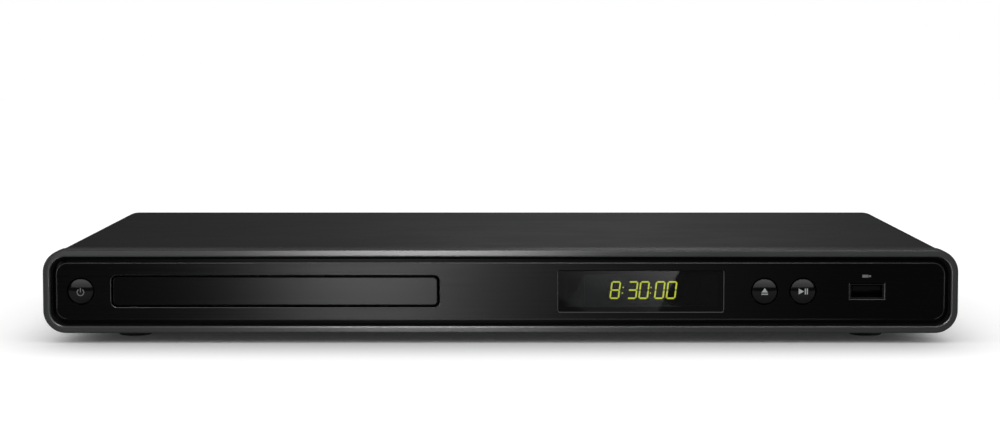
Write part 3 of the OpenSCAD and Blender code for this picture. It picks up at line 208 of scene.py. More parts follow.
def finish(name, colour, rough, drift, other=None, metal=0.0, spec=0.5, grain=None, brush=None, dust=0.0,
           glow=((1.0, 1.0, 1.0), 0.0), clear=0.0, ior=1.5, spread=0.0, lean=0.0):
    """A material from the shared groups. rough is the roughness's low and high end, or the low end of a
    span of 0.1. drift is the size of the clouds in which colour goes over into other. grain is (size,
    height) and brush (line, run, height). These sizes are in mm. spread draws the shine out along the
    piece's upright UV map, lean tips the shine up by degrees."""
    FINISH[name], w, shader = material(
        name, Metallic=metal, Specular_IOR_Level=spec, Transmission_Weight=clear, IOR=ior,
        Anisotropic=spread, Emission_Color=(*glow[0], 1.0), Emission_Strength=glow[1])
    low, high = rough if isinstance(rough, tuple) else (rough, rough + 0.1)
    at = w.add("ShaderNodeTexCoord").outputs["Object"]

    def use(tree, **ins):
        return w.add("ShaderNodeGroup", {"node_tree": tree}, Place=at, **ins).outputs

    other = other or tuple(0.82 * c for c in colour)
    shade = use(TONE, Colour=(*colour, 1.0), Other=(*other, 1.0), Size=drift)["Colour"]
    roughness = use(HANDLING, Low=low, High=high)["Roughness"]
    if dust:
        settled = use(DUST, Colour=shade, Amount=dust)
        shade = settled["Colour"]
        roughness = w.math("MULTIPLY_ADD", settled["Mask"], 0.5, roughness)
    heights = []
    if brush:
        lines = use(BRUSH, Line=brush[0], Run=brush[1])
        heights.append((lines["Height"], brush[2]))
        roughness = w.math("MULTIPLY_ADD", lines["Streak"], 0.08, roughness)
    if grain:
        heights.append((use(GRAIN, Size=grain[0])["Height"], grain[1]))
    normal = None
    if lean:
        own = w.add("ShaderNodeNewGeometry").outputs["Normal"]
        tipped = w.vector("ADD", own, (0.0, 0.0, math.tan(math.radians(lean))))
        normal = w.vector("NORMALIZE", tipped)
    for height, depth in heights:
        bump = w.add("ShaderNodeBump", Strength=1.0, Distance=depth * MM, Height=height)
        if normal is not None:
            w.feed(normal, bump.inputs["Normal"])
        normal = bump.outputs[0]
    w.feed(shade, shader.inputs["Base Color"])
    w.feed(roughness, shader.inputs["Roughness"])
    if normal is not None:
        w.feed(normal, shader.inputs["Normal"])
    if spread:
        along = w.add("ShaderNodeTangent", {"direction_type": "UV_MAP", "uv_map": "upright"})
        w.feed(along.outputs[0], shader.inputs["Tangent"])


finish("cover_paint", (0.0045, 0.0047, 0.0049), (0.5, 0.54), 60, spec=0.04, grain=(0.35, 0.003), dust=0.003)
finish("chassis_paint", (0.016, 0.0165, 0.017), 0.5, 50, spec=0.25, grain=(0.4, 0.006), dust=0.02)
finish("ring_metal", (0.03, 0.0312, 0.0306), (0.2, 0.22), 60, spec=0.095, grain=(0.18, 0.0003), spread=1.0)
finish("carrier_plastic", (0.004, 0.004, 0.004), 0.6, 20, spec=0.1, grain=(0.4, 0.01))
finish("fascia_metal", (0.0012, 0.0012, 0.0013), (0.24, 0.26), 90, spec=0.032, brush=(0.2, 60.0, 0.0004),
       spread=1.0)
finish("door_finish", (0.0012, 0.0012, 0.0013), (0.26, 0.28), 90, spec=0.032, grain=(0.2, 0.0003), spread=1.0)
finish("window_lens", (0.1, 0.115, 0.12), (0.01, 0.02), 40, clear=1.0, ior=1.45, spec=0.12, lean=3.5)
finish("display_black", (0.004, 0.0045, 0.005), 0.3, 10, spec=0.3)
finish("display_glow", (0.1, 0.11, 0.02), 0.4, 2, glow=((0.72, 0.69, 0.05), 7.5))
finish("pcb_green", (0.02, 0.11, 0.045), 0.25, 12, other=(0.015, 0.08, 0.035), spec=0.4, grain=(0.5, 0.008),
       dust=0.03)
finish("pcb_tan", (0.4, 0.26, 0.12), 0.5, 9, other=(0.33, 0.2, 0.09), spec=0.3, grain=(0.6, 0.01), dust=0.04)
finish("part_black", (0.012, 0.012, 0.013), 0.45, 8, grain=(0.3, 0.008))
finish("nickel_plate", (0.62, 0.61, 0.58), (0.16, 0.24), 6, other=(0.56, 0.55, 0.52), metal=1.0,
       grain=(0.3, 0.0006))
# Near black for the front socket's tongue: painted shade for the dark inside of the opening
finish("tongue_white", (0.003, 0.003, 0.003), 0.4, 5, spec=0.05, grain=(0.3, 0.004))
finish("button_black", (0.004, 0.004, 0.0043), (0.06, 0.1), 6, spec=0.1, grain=(0.2, 0.0001))
finish("plunger_brown", (0.1, 0.055, 0.03), 0.4, 3, grain=(0.3, 0.004))
finish("foot_plastic", (0.014, 0.014, 0.014), 0.5, 10, grain=(0.4, 0.012), dust=0.02)
finish("pad_rubber", (0.03, 0.03, 0.03), 0.75, 6, grain=(0.5, 0.02))
finish("loader_plastic", (0.02, 0.02, 0.021), 0.5, 20, grain=(0.35, 0.01), dust=0.03)
finish("tray_plastic", (0.02, 0.021, 0.022), 0.45, 25, grain=(0.3, 0.01), dust=0.01)
finish("gear_white", (0.68, 0.66, 0.58), 0.35, 6, other=(0.6, 0.57, 0.47), grain=(0.5, 0.005))
finish("motor_steel", (0.5, 0.5, 0.5), 0.28, 8, other=(0.42, 0.42, 0.42), metal=1.0, brush=(0.12, 6.0, 0.002))
finish("belt_rubber", (0.012, 0.012, 0.012), 0.65, 5, grain=(0.4, 0.01))
finish("bridge_steel", (0.46, 0.47, 0.48), (0.3, 0.42), 14, other=(0.38, 0.39, 0.41), metal=1.0,
       brush=(0.3, 12.0, 0.002), dust=0.02)
finish("puck_plastic", (0.62, 0.62, 0.59), 0.4, 9, grain=(0.4, 0.006))
finish("rod_steel", (0.62, 0.63, 0.64), (0.1, 0.18), 9, metal=1.0, brush=(0.08, 3.0, 0.0006))
finish("sled_metal", (0.42, 0.43, 0.44), 0.42, 7, other=(0.34, 0.35, 0.36), metal=1.0, grain=(0.5, 0.012))
finish("lens_glass", (0.35, 0.45, 0.7), (0.05, 0.1), 2, clear=0.7)
finish("brass_gear", (0.62, 0.43, 0.16), 0.22, 3, other=(0.52, 0.34, 0.11), metal=1.0,
       brush=(0.1, 2.0, 0.001))
finish("capacitor_sleeve", (0.012, 0.02, 0.06), 0.25, 4, spec=0.5, grain=(0.8, 0.003))
finish("jack_metal", (0.6, 0.57, 0.47), 0.18, 4, other=(0.5, 0.47, 0.38), metal=1.0, brush=(0.1, 2.0, 0.0006))
finish("heatsink_alloy", (0.55, 0.56, 0.57), 0.35, 9, metal=1.0, brush=(0.15, 14.0, 0.003))
finish("transformer_tape", (0.55, 0.38, 0.06), 0.25, 5, other=(0.45, 0.29, 0.04), grain=(0.6, 0.006))
finish("plug_white", (0.6, 0.58, 0.52), 0.4, 6, grain=(0.4, 0.004))
# Near-black metal for the front socket's shell: painted shade for the dark inside of the opening
finish("socket_shell_painted_shade", (0.03, 0.03, 0.031), 0.3, 5, metal=1.0, grain=(0.3, 0.0006))
finish("lead_white", (0.62, 0.62, 0.6), 0.4, 8, grain=(0.4, 0.004))
finish("lead_red", (0.38, 0.03, 0.02), 0.35, 8, grain=(0.4, 0.004))
finish("cut_edge", (0.022, 0.023, 0.023), (0.2, 0.26), 20, spec=0.9, grain=(0.2, 0.0006))
# A paler grey for the slopes round the front socket's opening: a painted highlight
finish("socket_slope_painted_highlight", (0.12, 0.12, 0.118), 0.3, 8, spec=0.4, grain=(0.2, 0.0006))
finish("fascia_bead", (0.007, 0.007, 0.007), (0.3, 0.35), 30, spec=0.08, grain=(0.2, 0.0006))
finish("mark_grey", (0.32, 0.33, 0.33), 0.4, 3, spec=0.3, grain=(0.15, 0.002))
finish("print_grey", (0.13, 0.13, 0.13), 0.4, 3, spec=0.3, grain=(0.15, 0.002))
finish("contact_gold", (0.7, 0.5, 0.18), (0.18, 0.26), 2, metal=1.0, grain=(0.2, 0.0006))
finish("can_top", (0.55, 0.55, 0.56), 0.25, 3, metal=1.0, brush=(0.1, 4.0, 0.001))
JACK_PAINTS = {"yellow": (0.62, 0.46, 0.03), "white": (0.62, 0.62, 0.6), "red": (0.42, 0.02, 0.015),
               "green": (0.03, 0.24, 0.06), "blue": (0.02, 0.08, 0.36), "orange": (0.6, 0.2, 0.02)}
for jack, paint in JACK_PAINTS.items():
    finish("jack_" + jack, paint, 0.35, 4, grain=(0.4, 0.004))
finish("screw_black", (0.02, 0.02, 0.021), (0.35, 0.5), 2, spec=0.6, grain=(0.25, 0.003))
finish("screw_zinc", (0.58, 0.58, 0.55), 0.25, 2, metal=1.0, grain=(0.25, 0.001))


# ---------- geometry trees ----------

def shape_tree(name, inputs, build):
    """A Geometry Nodes tree that ends in Realize Instances and Set Material. inputs has the start values of
    its named inputs, or the kind of one that has none."""
    tree = bpy.data.node_groups.new(name, "GeometryNodeTree")
    add_socket(tree, "INPUT", "Geometry", "Geometry")
    for label, start in inputs.items():
        kind = {float: "Float", int: "Int", tuple: "Vector"}.get(type(start), start)
        made = add_socket(tree, "INPUT", label, kind)
        if kind != start:
            made.default_value = start
    add_socket(tree, "INPUT", "Finish", "Material")
    add_socket(tree, "OUTPUT", "Geometry", "Geometry")
    w = Wires(tree)
    given = tree.nodes.new("NodeGroupInput").outputs
    real = w.add("GeometryNodeRealizeInstances", Geometry=build(w, given))
    done = w.add("GeometryNodeSetMaterial", Geometry=real.outputs[0], Material=given["Finish"])
    w.feed(done.outputs[0], tree.nodes.new("NodeGroupOutput").inputs[0])
    return tree


def build_rim(w, i):
    outline = w.add("GeometryNodeCurvePrimitiveQuadrilateral", Width=i["Width"], Height=i["Height"])
    rounded = w.add("GeometryNodeFilletCurve", {"mode": "POLY"}, Curve=outline.outputs[0],
                    Radius=i["Corner"], Count=i["Steps"], Limit_Radius=True)
    profile = w.add("GeometryNodeMeshToCurve", Mesh=i["Geometry"])
    return w.add("GeometryNodeCurveToMesh", Curve=rounded.outputs[0],
                 Profile_Curve=profile.outputs[0]).outputs[0]


RIM_SWEEP = shape_tree("rim_sweep", {"Width": 0.1, "Height": 0.03, "Corner": 0.005, "Steps": 12}, build_rim)


def build_repeat(w, i):
    def kept(name, kind):
        return w.add("GeometryNodeInputNamedAttribute", {"data_type": kind}, Name=name).outputs[0]

    part = w.add("GeometryNodeObjectInfo", Object=i["Part"], As_Instance=True)
    aimed = w.add("FunctionNodeAlignRotationToVector", {"axis": "Z"}, Vector=kept("aim", "FLOAT_VECTOR"))
    chance = w.add("FunctionNodeRandomValue", {"data_type": "FLOAT"})
    w.feed(i["Random Turn"], chance.inputs[3])
    w.feed(i["Seed"], chance.inputs["Seed"])
    angle = w.math("ADD", chance.outputs[1], kept("turn", "FLOAT"))
    spin = w.add("FunctionNodeAxisAngleToRotation", Axis=(0.0, 0.0, 1.0), Angle=angle)
    turned = w.add("FunctionNodeRotateRotation", {"rotation_space": "LOCAL"}, Rotation=aimed.outputs[0],
                   Rotate_By=spin.outputs[0])
    return w.add("GeometryNodeInstanceOnPoints", Points=i["Geometry"], Instance=part.outputs["Geometry"],
                 Rotation=turned.outputs[0], Scale=kept("size", "FLOAT_VECTOR")).outputs[0]


REPEAT_PART = shape_tree("repeat_part", {"Part": "Object", "Random Turn": 0.0, "Seed": 4}, build_repeat)


def build_leads(w, i):
    line = w.add("GeometryNodeMeshLine", Count=i["Leads"], Offset=i["Pitch"])
    path = w.add("GeometryNodeMeshToCurve", Mesh=i["Geometry"])
    laid = w.add("GeometryNodeInstanceOnPoints", Points=line.outputs[0], Instance=path.outputs[0])
    real = w.add("GeometryNodeRealizeInstances", Geometry=laid.outputs[0])
    ring = w.add("GeometryNodeCurvePrimitiveCircle", Resolution=8, Radius=i["Radius"])
    return w.add("GeometryNodeCurveToMesh", Curve=real.outputs[0], Profile_Curve=ring.outputs[0],
                 Fill_Caps=True).outputs[0]


FLAT_LEADS = shape_tree("flat_leads", {"Leads": 6, "Pitch": (0.001, 0.0, 0.0), "Radius": 0.0004}, build_leads)


def placed(name, data):
    """An object of data, linked to the scene."""
    item = bpy.data.objects.new(name, data)
    bpy.context.scene.collection.objects.link(item)
    return item


def grow(tree, mesh, **sizes):
    """The plain mesh that a tree makes of the given one."""
    work = placed("work", mesh)
    tool = work.modifiers.new("tree", "NODES")
    tool.node_group = tree
    sockets = {item.name: item.identifier for item in tree.interface.items_tree
               if item.item_type == "SOCKET" and item.in_out == "INPUT"}
    for label, value in sizes.items():
        tool[sockets[label.replace("_", " ")]] = value
    return plain_mesh(work)


# ---------- mesh helpers ----------

def add_piece(name, mesh, body, slot, *nodes):
    """A finished piece: it rides on body, takes its finish from slot and stands for those nodes."""
    piece = placed(name, mesh)
    if not mesh.materials:
        mesh.materials.append(FINISH[slot])
    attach(piece, body)
    if nodes:
        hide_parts(*nodes)


def plain_mesh(piece):
    """The evaluated mesh of an object, which is then removed with its modifiers."""
    depsgraph = bpy.context.evaluated_depsgraph_get()
    mesh = bpy.data.meshes.new_from_object(piece.evaluated_get(depsgraph))
    bpy.data.objects.remove(piece)
    return mesh


def in_metres(point):
    return tuple(MM * c for c in point)


def shade_round(mesh, steepest):
    mesh.shade_smooth()
    mesh.set_sharp_from_angle(angle=math.radians(steepest))


def mesh_of(name, points, faces, smooth=None):
    """A mesh from points in millimetres. smooth is the steepest angle that is shaded round."""
    mesh = bpy.data.meshes.new(name)
    mesh.from_pydata([in_metres(p) for p in points], [], faces)
    if smooth is not None:
        shade_round(mesh, smooth)
    return mesh


def joined(name, *meshes):
    """One mesh of several, each with its own finish kept."""
    bm = bmesh.new()
    done = bpy.data.meshes.new(name)
    for mesh in meshes:
        for mat in mesh.materials:
            if mat.name not in done.materials:
                done.materials.append(mat)
        part = mesh.copy()
        index = [done.materials.find(mat.name) for mat in mesh.materials]
        for face in part.polygons:
            face.material_index = index[face.material_index]
        bm.from_mesh(part)
    bm.to_mesh(done)
    bm.free()
    return done


SHARP = math.radians(30.0)      # edges at least this steep are eased
WELD = 2e-6                     # corners nearer than this, in metres, become one


def reworked(mesh, change):
    """Changes a mesh by a function that takes it as a BMesh."""
    bm = bmesh.new()
    bm.from_mesh(mesh)
    change(bm)
    bm.to_mesh(mesh)
    bm.free()


def welded(mesh):
    """A BMesh of a CAD node's loose triangles, joined at their corners."""
    bm = bmesh.new()
    bm.from_mesh(mesh)
    bmesh.ops.remove_doubles(bm, verts=bm.verts, dist=WELD)
    return bm


def eased_mesh(node, width):
    """A node's shape with its sharp edges eased by width mm, curved faces shaded smooth and flats flat."""
    mesh = NODES[node].data.copy()
    bm = welded(mesh)
    bmesh.ops.dissolve_limit(bm, angle_limit=math.radians(0.5), verts=bm.verts, edges=bm.edges)
    for edge in bm.edges:
        edge.smooth = len(edge.link_faces) == 2 and edge.calc_face_angle(0.0) < SHARP
    for face in bm.faces:
        face.smooth = True
    bm.to_mesh(mesh)
    bm.free()
    work = placed("work", mesh)
    ease = work.modifiers.new("ease", "BEVEL")
    ease.width = width * MM
    ease.segments = 2
    ease.limit_method = "ANGLE"
    ease.angle_limit = SHARP
    even = work.modifiers.new("even", "WEIGHTED_NORMAL")
    even.keep_sharp = True
    even.weight = 60
    done = plain_mesh(work)
    done.materials.clear()
    return done


def islands(node):
    """The lowest and highest corner, in millimetres, of each separate solid in a node."""
    bm = welded(NODES[node].data)
    left = set(bm.verts)
    found = []
    while left:
        reach = [left.pop()]
        group = []
        while reach:
            vert = reach.pop()
            group.append(vert.co / MM)
            for edge in vert.link_edges:
                other = edge.other_vert(vert)
                if other in left:
                    left.remove(other)
                    reach.append(other)
        found.append([Vector([pick(p[i] for p in group) for i in range(3)]) for pick in (min, max)])
    bm.free()
    return sorted(found, key=lambda box: tuple(round(c, 1) for c in box[0]))


def block(x0, x1, y0, y1, z0, z1, ease, side=4):
    """Points and faces of a block whose upright edges are rounded and whose top edge is eased."""
    half_x, half_y = (x1 - x0) / 2 - ease, (y1 - y0) / 2 - ease
    mid_x, mid_y = (x0 + x1) / 2, (y0 + y1) / 2
    points = []
    for z, grow_by in ((z0, 0.0), (z1 - ease, 0.0), (z1 - ease * 0.3, -ease * 0.3), (z1, -ease)):
        for corner, (sx, sy) in enumerate(((1, 1), (-1, 1), (-1, -1), (1, -1))):
            for step in range(side):
                turn = math.pi / 2 * (corner + step / (side - 1))
                reach = max(ease + grow_by, 0.02)
                points.append((mid_x + sx * half_x + reach * math.cos(turn),
                               mid_y + sy * half_y + reach * math.sin(turn), z))
    ring = 4 * side
    faces = [tuple(range(ring))[::-1], tuple(3 * ring + i for i in range(ring))]
    for level in range(3):
        for i in range(ring):
            j = (i + 1) % ring
            low, high = level * ring, (level + 1) * ring
            faces.append((low + i, low + j, high + j, high + i))
    return points, faces


def plate(outline, front, back):
    """Points and faces of a thin upright plate from its (x, z) outline and the y of its front and back."""
    count = len(outline)
    points = [(x, y, z) for y in (front, back) for x, z in outline]
    faces = [tuple(range(count)), tuple(range(2 * count - 1, count - 1, -1))]
    faces += [(i, i + count, (i + 1) % count + count, (i + 1) % count) for i in range(count)]
    return points, faces


def oblong(x0, x1, z0, z1):
    return [(x0, z0), (x1, z0), (x1, z1), (x0, z1)]


def gathered(name, shapes, smooth=35.0):
    """One mesh of several (points, faces) shapes."""
    points, faces = [], []
    for some, own in shapes:
        base = len(points)
        points += some
        faces += [tuple(base + i for i in face) for face in own]
    return mesh_of(name, points, faces, smooth)


def turned(profile, steps):
    """Points and faces of a solid turned about Z from (radius, height) pairs, closed on the axis."""
    points, faces = [], []
    last = len(profile) - 1
    start = []
    for i, (r, z) in enumerate(profile):
        start.append(len(points))
        if i in (0, last):
            points.append((0.0, 0.0, z))
        else:
            turns = [2 * math.pi * k / steps for k in range(steps)]
            points += [(r * math.cos(a), r * math.sin(a), z) for a in turns]
    for k in range(steps):
        n = (k + 1) % steps
        faces.append((start[0], start[1] + n, start[1] + k))
        faces.append((start[last], start[last - 1] + k, start[last - 1] + n))
        for i in range(1, last - 1):
            faces.append((start[i] + k, start[i] + n, start[i + 1] + n, start[i + 1] + k))
    return points, faces


def swept_rim(name, profile, width, height, corner, middle_x, slot, steps):
    """A rounded rectangular frame on the front. profile has (outwards, depth) pairs in millimetres."""
    mesh = bpy.data.meshes.new(name)
    count = len(profile)
    mesh.from_pydata([(MM * out, MM * depth, 0.0) for out, depth in profile],
                     [(i, (i + 1) % count) for i in range(count)], [])
    rim = grow(RIM_SWEEP, mesh, Width=width * MM, Height=height * MM, Corner=corner * MM, Steps=steps,
               Finish=FINISH[slot])
    rim.transform(Matrix(((1, 0, 0, middle_x * MM), (0, 0, -1, FACE_Y * MM), (0, 1, 0, MID_Z * MM),
                          (0, 0, 0, 1))))
    shade_round(rim, 32)
    return rim


def repeated(name, part, places, slot, random_turn=0.0, seed=4):
    """Copies of part, a mesh, at places: (point, aim, turn in degrees, size) each."""
    spots = bpy.data.meshes.new(name + "-spots")
    spots.from_pydata([in_metres(place[0]) for place in places], [], [])
    kinds = (("aim", "FLOAT_VECTOR", "vector", [v for place in places for v in place[1]]),
             ("turn", "FLOAT", "value", [math.radians(place[2]) for place in places]),
             ("size", "FLOAT_VECTOR", "vector", [v for place in places for v in place[3]]))
    for label, kind, field, values in kinds:
        spots.attributes.new(label, kind, "POINT").data.foreach_set(field, values)
    pattern = placed(name + "-pattern", part)
    mesh = grow(REPEAT_PART, spots, Part=pattern, Random_Turn=random_turn, Seed=seed, Finish=FINISH[slot])
    bpy.data.objects.remove(pattern)
    return mesh


def grained_uv(mesh):
    """A UV map whose U runs up the front and back over the top, to spread the shine along it."""
    layer = mesh.uv_layers.new(name="upright")
    for loop in mesh.loops:
        co = mesh.vertices[loop.vertex_index].co
        layer.data[loop.index].uv = ((co.z - co.y) * 10.0, (co.x + 0.02 * co.z) * 10.0)


# ---------- pieces ----------

BODY_OF = {node: body for body, nodes in frame["record"]["behaviour"]["bodies"].items() for node in nodes}
SLOT_OF = {part["node"]: part["material_slot"] for part in frame["record"]["subparts"]}
ONE = (1.0, 1.0, 1.0)
UP = (0.0, 0.0, 1.0)
ANY_TURN = 6.28     # a random turn up to this, in radians
FINE = 0.12     # how far most edges are eased
DONE = set()


def stand_for(node, mesh):
    """The piece that stands for a node, on its body and in its slot."""
    DONE.add(node)
    add_piece(node.replace("_", "-") + "-finished", mesh, BODY_OF[node], SLOT_OF[node], node)


def make_trim_ring():
    # The face leans back a little towards the outside, and a narrow lip runs round its inner edge
    profile = [(-RING_T, RING_D), (-RING_T, 0.32), (-2.78, 0.2), (-2.7, 0.1), (-2.4, 0.012), (-2.32, 0.002),
               (-2.2, 0.0), (-0.68, 0.07), (-0.6, 0.076), (-0.4, 0.12), (-0.2, 0.24), (-0.06, 0.42),
               (-0.01, 0.62), (0.0, 0.75), (0.0, RING_D - 0.35), (-0.02, RING_D - 0.25), (-0.25, RING_D)]
    mesh = swept_rim("trim-ring", profile, CASE_W, CASE_H, CORNER_R, 0.0, "ring_metal", 20)
    grained_uv(mesh)
    stand_for("trim_ring", mesh)


def make_front_edges():
    """The cut edges round the doorway and the window, and the fascia's raised line."""
    def edge(name, width, height, corner, x, cut, sides, top):
        """The finish of its top side, which looks down, may differ from that of its other sides; on the
        window's edge that darker top side is painted shade.
        """
        back = BEHIND_FASCIA + cut + 0.3
        profile = [(-0.02, back), (-cut, back), (-cut, BEHIND_FASCIA + cut * 0.9), (-0.02, BEHIND_FASCIA)]
        rim = swept_rim(name, profile, width, height, corner, x, sides, 8)
        rim.materials.append(FINISH[top])
        for face in rim.polygons:
            face.material_index = int(face.center.z / MM > MID_Z + height / 2 - 0.4)
        add_piece(name, rim, "case", "fascia_metal")

    edge("doorway-edge", 129.8, 13.1, 2.6, TRAY_X, 0.22, "cut_edge", "cut_edge")
    # The window edge's top side takes the dark carrier finish as painted shade
    edge("window-edge", WINDOW_W, WINDOW_H, 1.0, WINDOW_X, 0.25, "cut_edge", "carrier_plastic")
    profile = [(-0.2, 0.86), (-0.2, 0.74), (-0.12, 0.69), (0.0, 0.67), (0.12, 0.69), (0.2, 0.74), (0.2, 0.86)]
    bead = swept_rim("fascia-bead", profile, 349.2, 22.2, 4.4, 0.0, "fascia_bead", 12)
    bead.materials.append(FINISH["fascia_metal"])
    # The bead's bottom run takes the darker fascia finish as painted shade; the rest keeps the bead's own
    # finish
    for face in bead.polygons:
        face.material_index = int(face.center.z / MM < MID_Z - 5.0)
    grained_uv(bead)
    add_piece("fascia-bead", bead, "case", "fascia_metal")


def make_fascia_and_door():
    for node in ("fascia_plate", "tray_door"):
        mesh = eased_mesh(node, FINE)
        grained_uv(mesh)
        if node == "fascia_plate":
            mesh.materials.append(FINISH["fascia_metal"])
            mesh.materials.append(FINISH["socket_slope_painted_highlight"])
            for face in mesh.polygons:
                # Only the slopes round the front socket's opening, up to 2.9 mm over the middle, are paler: a
                # painted highlight
                x, z = face.center.x / MM - USB_X, face.center.z / MM - MID_Z
                sloping = 0.2 < -face.normal.y < 0.97
                face.material_index = int(sloping and abs(x) < 7.6 and -3.9 < z < 2.9)
        stand_for(node, mesh)


def make_digits():
    """8:30:00 in seven-segment figures: each lit bar is a flat six-sided bar with a gap to the next."""
    high, wide, bar, lean, gap = 7.1, 3.3, 0.62, 0.12, 0.1
    front, back = FACE_Y + 5.62, FACE_Y + 5.78
    base_z = MID_Z - high / 2
    starts = {42.95: "8", 49.8: "3", 54.35: "0", 60.55: "0", 65.2: "0"}
    lit = {"8": "abcdefg", "3": "abcdg", "0": "abcdef"}
    rise = (high - bar) / 2
    bars = {"a": ((0, high - bar / 2), (wide, high - bar / 2)), "g": ((0, high / 2), (wide, high / 2)),
            "d": ((0, bar / 2), (wide, bar / 2)), "b": ((wide, high / 2), (wide, high / 2 + rise)),
            "c": ((wide, bar / 2), (wide, bar / 2 + rise)), "f": ((0, high / 2), (0, high / 2 + rise)),
            "e": ((0, bar / 2), (0, bar / 2 + rise))}
    shapes = []

    def bar_shape(x, start, end):
        (u0, v0), (u1, v1) = start, end
        length = math.hypot(u1 - u0, v1 - v0)
        du, dv = (u1 - u0) / length, (v1 - v0) / length
        shoulder, half = bar / 2 + gap * 0.4, bar / 2
        outline = []
        for along, across in ((gap, 0), (shoulder, -half), (length - shoulder, -half), (length - gap, 0),
                              (length - shoulder, half), (shoulder, half)):
            u = u0 + du * along - dv * across
            v = v0 + dv * along + du * across
            outline.append((x + half + u + lean * v, v + base_z))
        return plate(outline, front, back)

    for x, figure in starts.items():
        shapes += [bar_shape(x, *bars[key]) for key in lit[figure]]
    dot = 0.24
    for x in (47.9, 58.95):
        for v in (2.35, 4.6):
            u, z = x + lean * v, base_z + v
            shapes.append(plate(oblong(u - dot, u + dot, z - dot, z + dot), front, back))
    stand_for("display_digits", gathered("display-digits", shapes, None))


DOME_R, DOME_TOP = 13.518, 0.3      # the radius of the buttons' domes, and their tops behind the ring's face
MARK_T = 0.03                       # thickness of the marks on the buttons


def dome_depth(r):
    return DOME_TOP + DOME_R - math.sqrt(DOME_R * DOME_R - r * r)


def make_button_marks():
    """The standby, eject and play marks, thin and bent over the buttons' domes."""
    def patch(x, rows):
        """rows is a list of equally long lines of (u, v) points."""
        points, faces = [], []
        wide = len(rows[0])
        for row in rows:
            points += [(x + u, FACE_Y + dome_depth(math.hypot(u, v)) - 0.02, MID_Z + v) for u, v in row]
        for i in range(len(rows) - 1):
            for j in range(wide - 1):
                k = i * wide + j
                faces.append((k, k + 1, k + wide + 1, k + wide))
        return points, faces

    def strip(x, u0, u1, v0, v1, cells=4):
        return patch(x, [[(u0 + (u1 - u0) * j / cells, v0 + (v1 - v0) * i / cells) for j in range(cells + 1)]
                         for i in range(cells + 1)])

    def wedge(x, corners, cells=5):
        """A triangle from its first corner to the line between the other two."""
        (au, av), (bu, bv), (cu, cv) = corners
        rows = []
        for i in range(cells + 1):
            t = max(i / cells, 0.01)
            row = []
            for j in range(cells + 1):
                e = j / cells
                row.append((au + t * ((bu - au) * (1 - e) + (cu - au) * e),
                            av + t * ((bv - av) * (1 - e) + (cv - av) * e)))
            rows.append(row)
        return patch(x, rows)

    def arc(x, r0, r1, start, end, cells=28):
        turns = [math.radians(start + (end - start) * j / cells) for j in range(cells + 1)]
        return patch(x, [[(r * math.cos(a), r * math.sin(a) - 0.35) for a in turns]
                         for r in (r0, (r0 + r1) / 2, r1)])

    def thicken(bm):
        for face in bm.faces:
            face.normal_update()
            if face.normal.y > 0:
                face.normal_flip()
        bmesh.ops.solidify(bm, geom=bm.faces[:], thickness=MARK_T * MM)

    marks = {
        "power": lambda x: [arc(x, 1.12, 1.5, 125, 415), strip(x, -0.19, 0.19, -0.3, 1.35)],
        "eject": lambda x: [wedge(x, [(0, 1.35), (-1.3, -0.45), (1.3, -0.45)]),
                            strip(x, -1.3, 1.3, -1.35, -0.85)],
        "play": lambda x: [wedge(x, [(0.35, 0), (-1.75, 1.15), (-1.75, -1.15)]),
                           strip(x, 0.65, 1.1, -1.15, 1.15), strip(x, 1.45, 1.9, -1.15, 1.15)],
    }
    for key, x in BUTTONS.items():
        mesh = gathered(key + "-mark", marks[key](x), None)
        reworked(mesh, thicken)
        mesh.materials.append(FINISH["print_grey" if key == "power" else "mark_grey"])
        add_piece(key + "-mark", mesh, key + "_key", "button_black")


def screw_shape(head_r, head_h, shank_r, length):
    """A pan-head screw with a cross recess, its seat at the origin and its head towards +Z."""
    deep, arm, half = head_h * 0.55, head_r * 0.62, head_r * 0.15
    side = math.sqrt(head_r ** 2 * 0.49 - half ** 2)
    rim, top = [], []
    for quarter in range(4):
        a = math.pi / 2 * quarter
        for u, v in ((arm, -half), (arm, half), (half, half)):
            top.append((u * math.cos(a) - v * math.sin(a), u * math.sin(a) + v * math.cos(a)))
        for step in (-1, 0, 1):
            b = a + step * math.pi / 6
            rim.append((math.cos(b), math.sin(b)))
    count = 12
    points = [(x, y, head_h) for x, y in top] + [(x * 0.72, y * 0.72, head_h - deep) for x, y in top]
    for reach, z in ((side, head_h * 0.96), (head_r * 0.92, head_h * 0.7), (head_r, head_h * 0.42),
                     (head_r, 0.0), (shank_r, 0.0), (shank_r, -length)):
        points += [(x * reach, y * reach, z) for x, y in rim]
    faces = [tuple(range(count, 2 * count)), tuple(range(8 * count - 1, 7 * count - 1, -1))]
    for i in range(count):
        j = (i + 1) % count
        faces.append((i, j, count + j, count + i))
        for low in range(2 * count, 7 * count, count):
            faces.append((low + i, low + count + i, low + count + j, low + j))
        faces.append((i, 2 * count + i, 2 * count + j, j))
    mesh = mesh_of("screw", points, faces, 35)
    reworked(mesh, lambda bm: bmesh.ops.recalc_face_normals(bm, faces=bm.faces))
    return mesh


def make_screws():
    places, head = [], 1.6
    for low, high in islands("cover_screws"):
        mid = (low + high) / 2
        if abs(mid.x) > 170:
            way = 1 if mid.x > 0 else -1
            seat = (high.x if way > 0 else low.x) - way * head
            places.append(((seat, mid.y, mid.z), (way, 0.0, 0.0), 15.0, ONE))
        else:
            places.append(((mid.x, high.y - head, mid.z), (0.0, 1.0, 0.0), 0.0, ONE))
    screw = screw_shape(2.75, head, 1.45, 3.4)
    stand_for("cover_screws", repeated("cover-screws", screw, places, "screw_black", ANY_TURN, 7))
    head = 1.3
    places = [(((low.x + high.x) / 2, (low.y + high.y) / 2, high.z - head), UP, 0.0, ONE)
              for low, high in islands("inner_screws")]
    screw = screw_shape(2.55, head, 1.2, 2.9)
    stand_for("inner_screws", repeated("inner-screws", screw, places, "screw_zinc", ANY_TURN, 11))


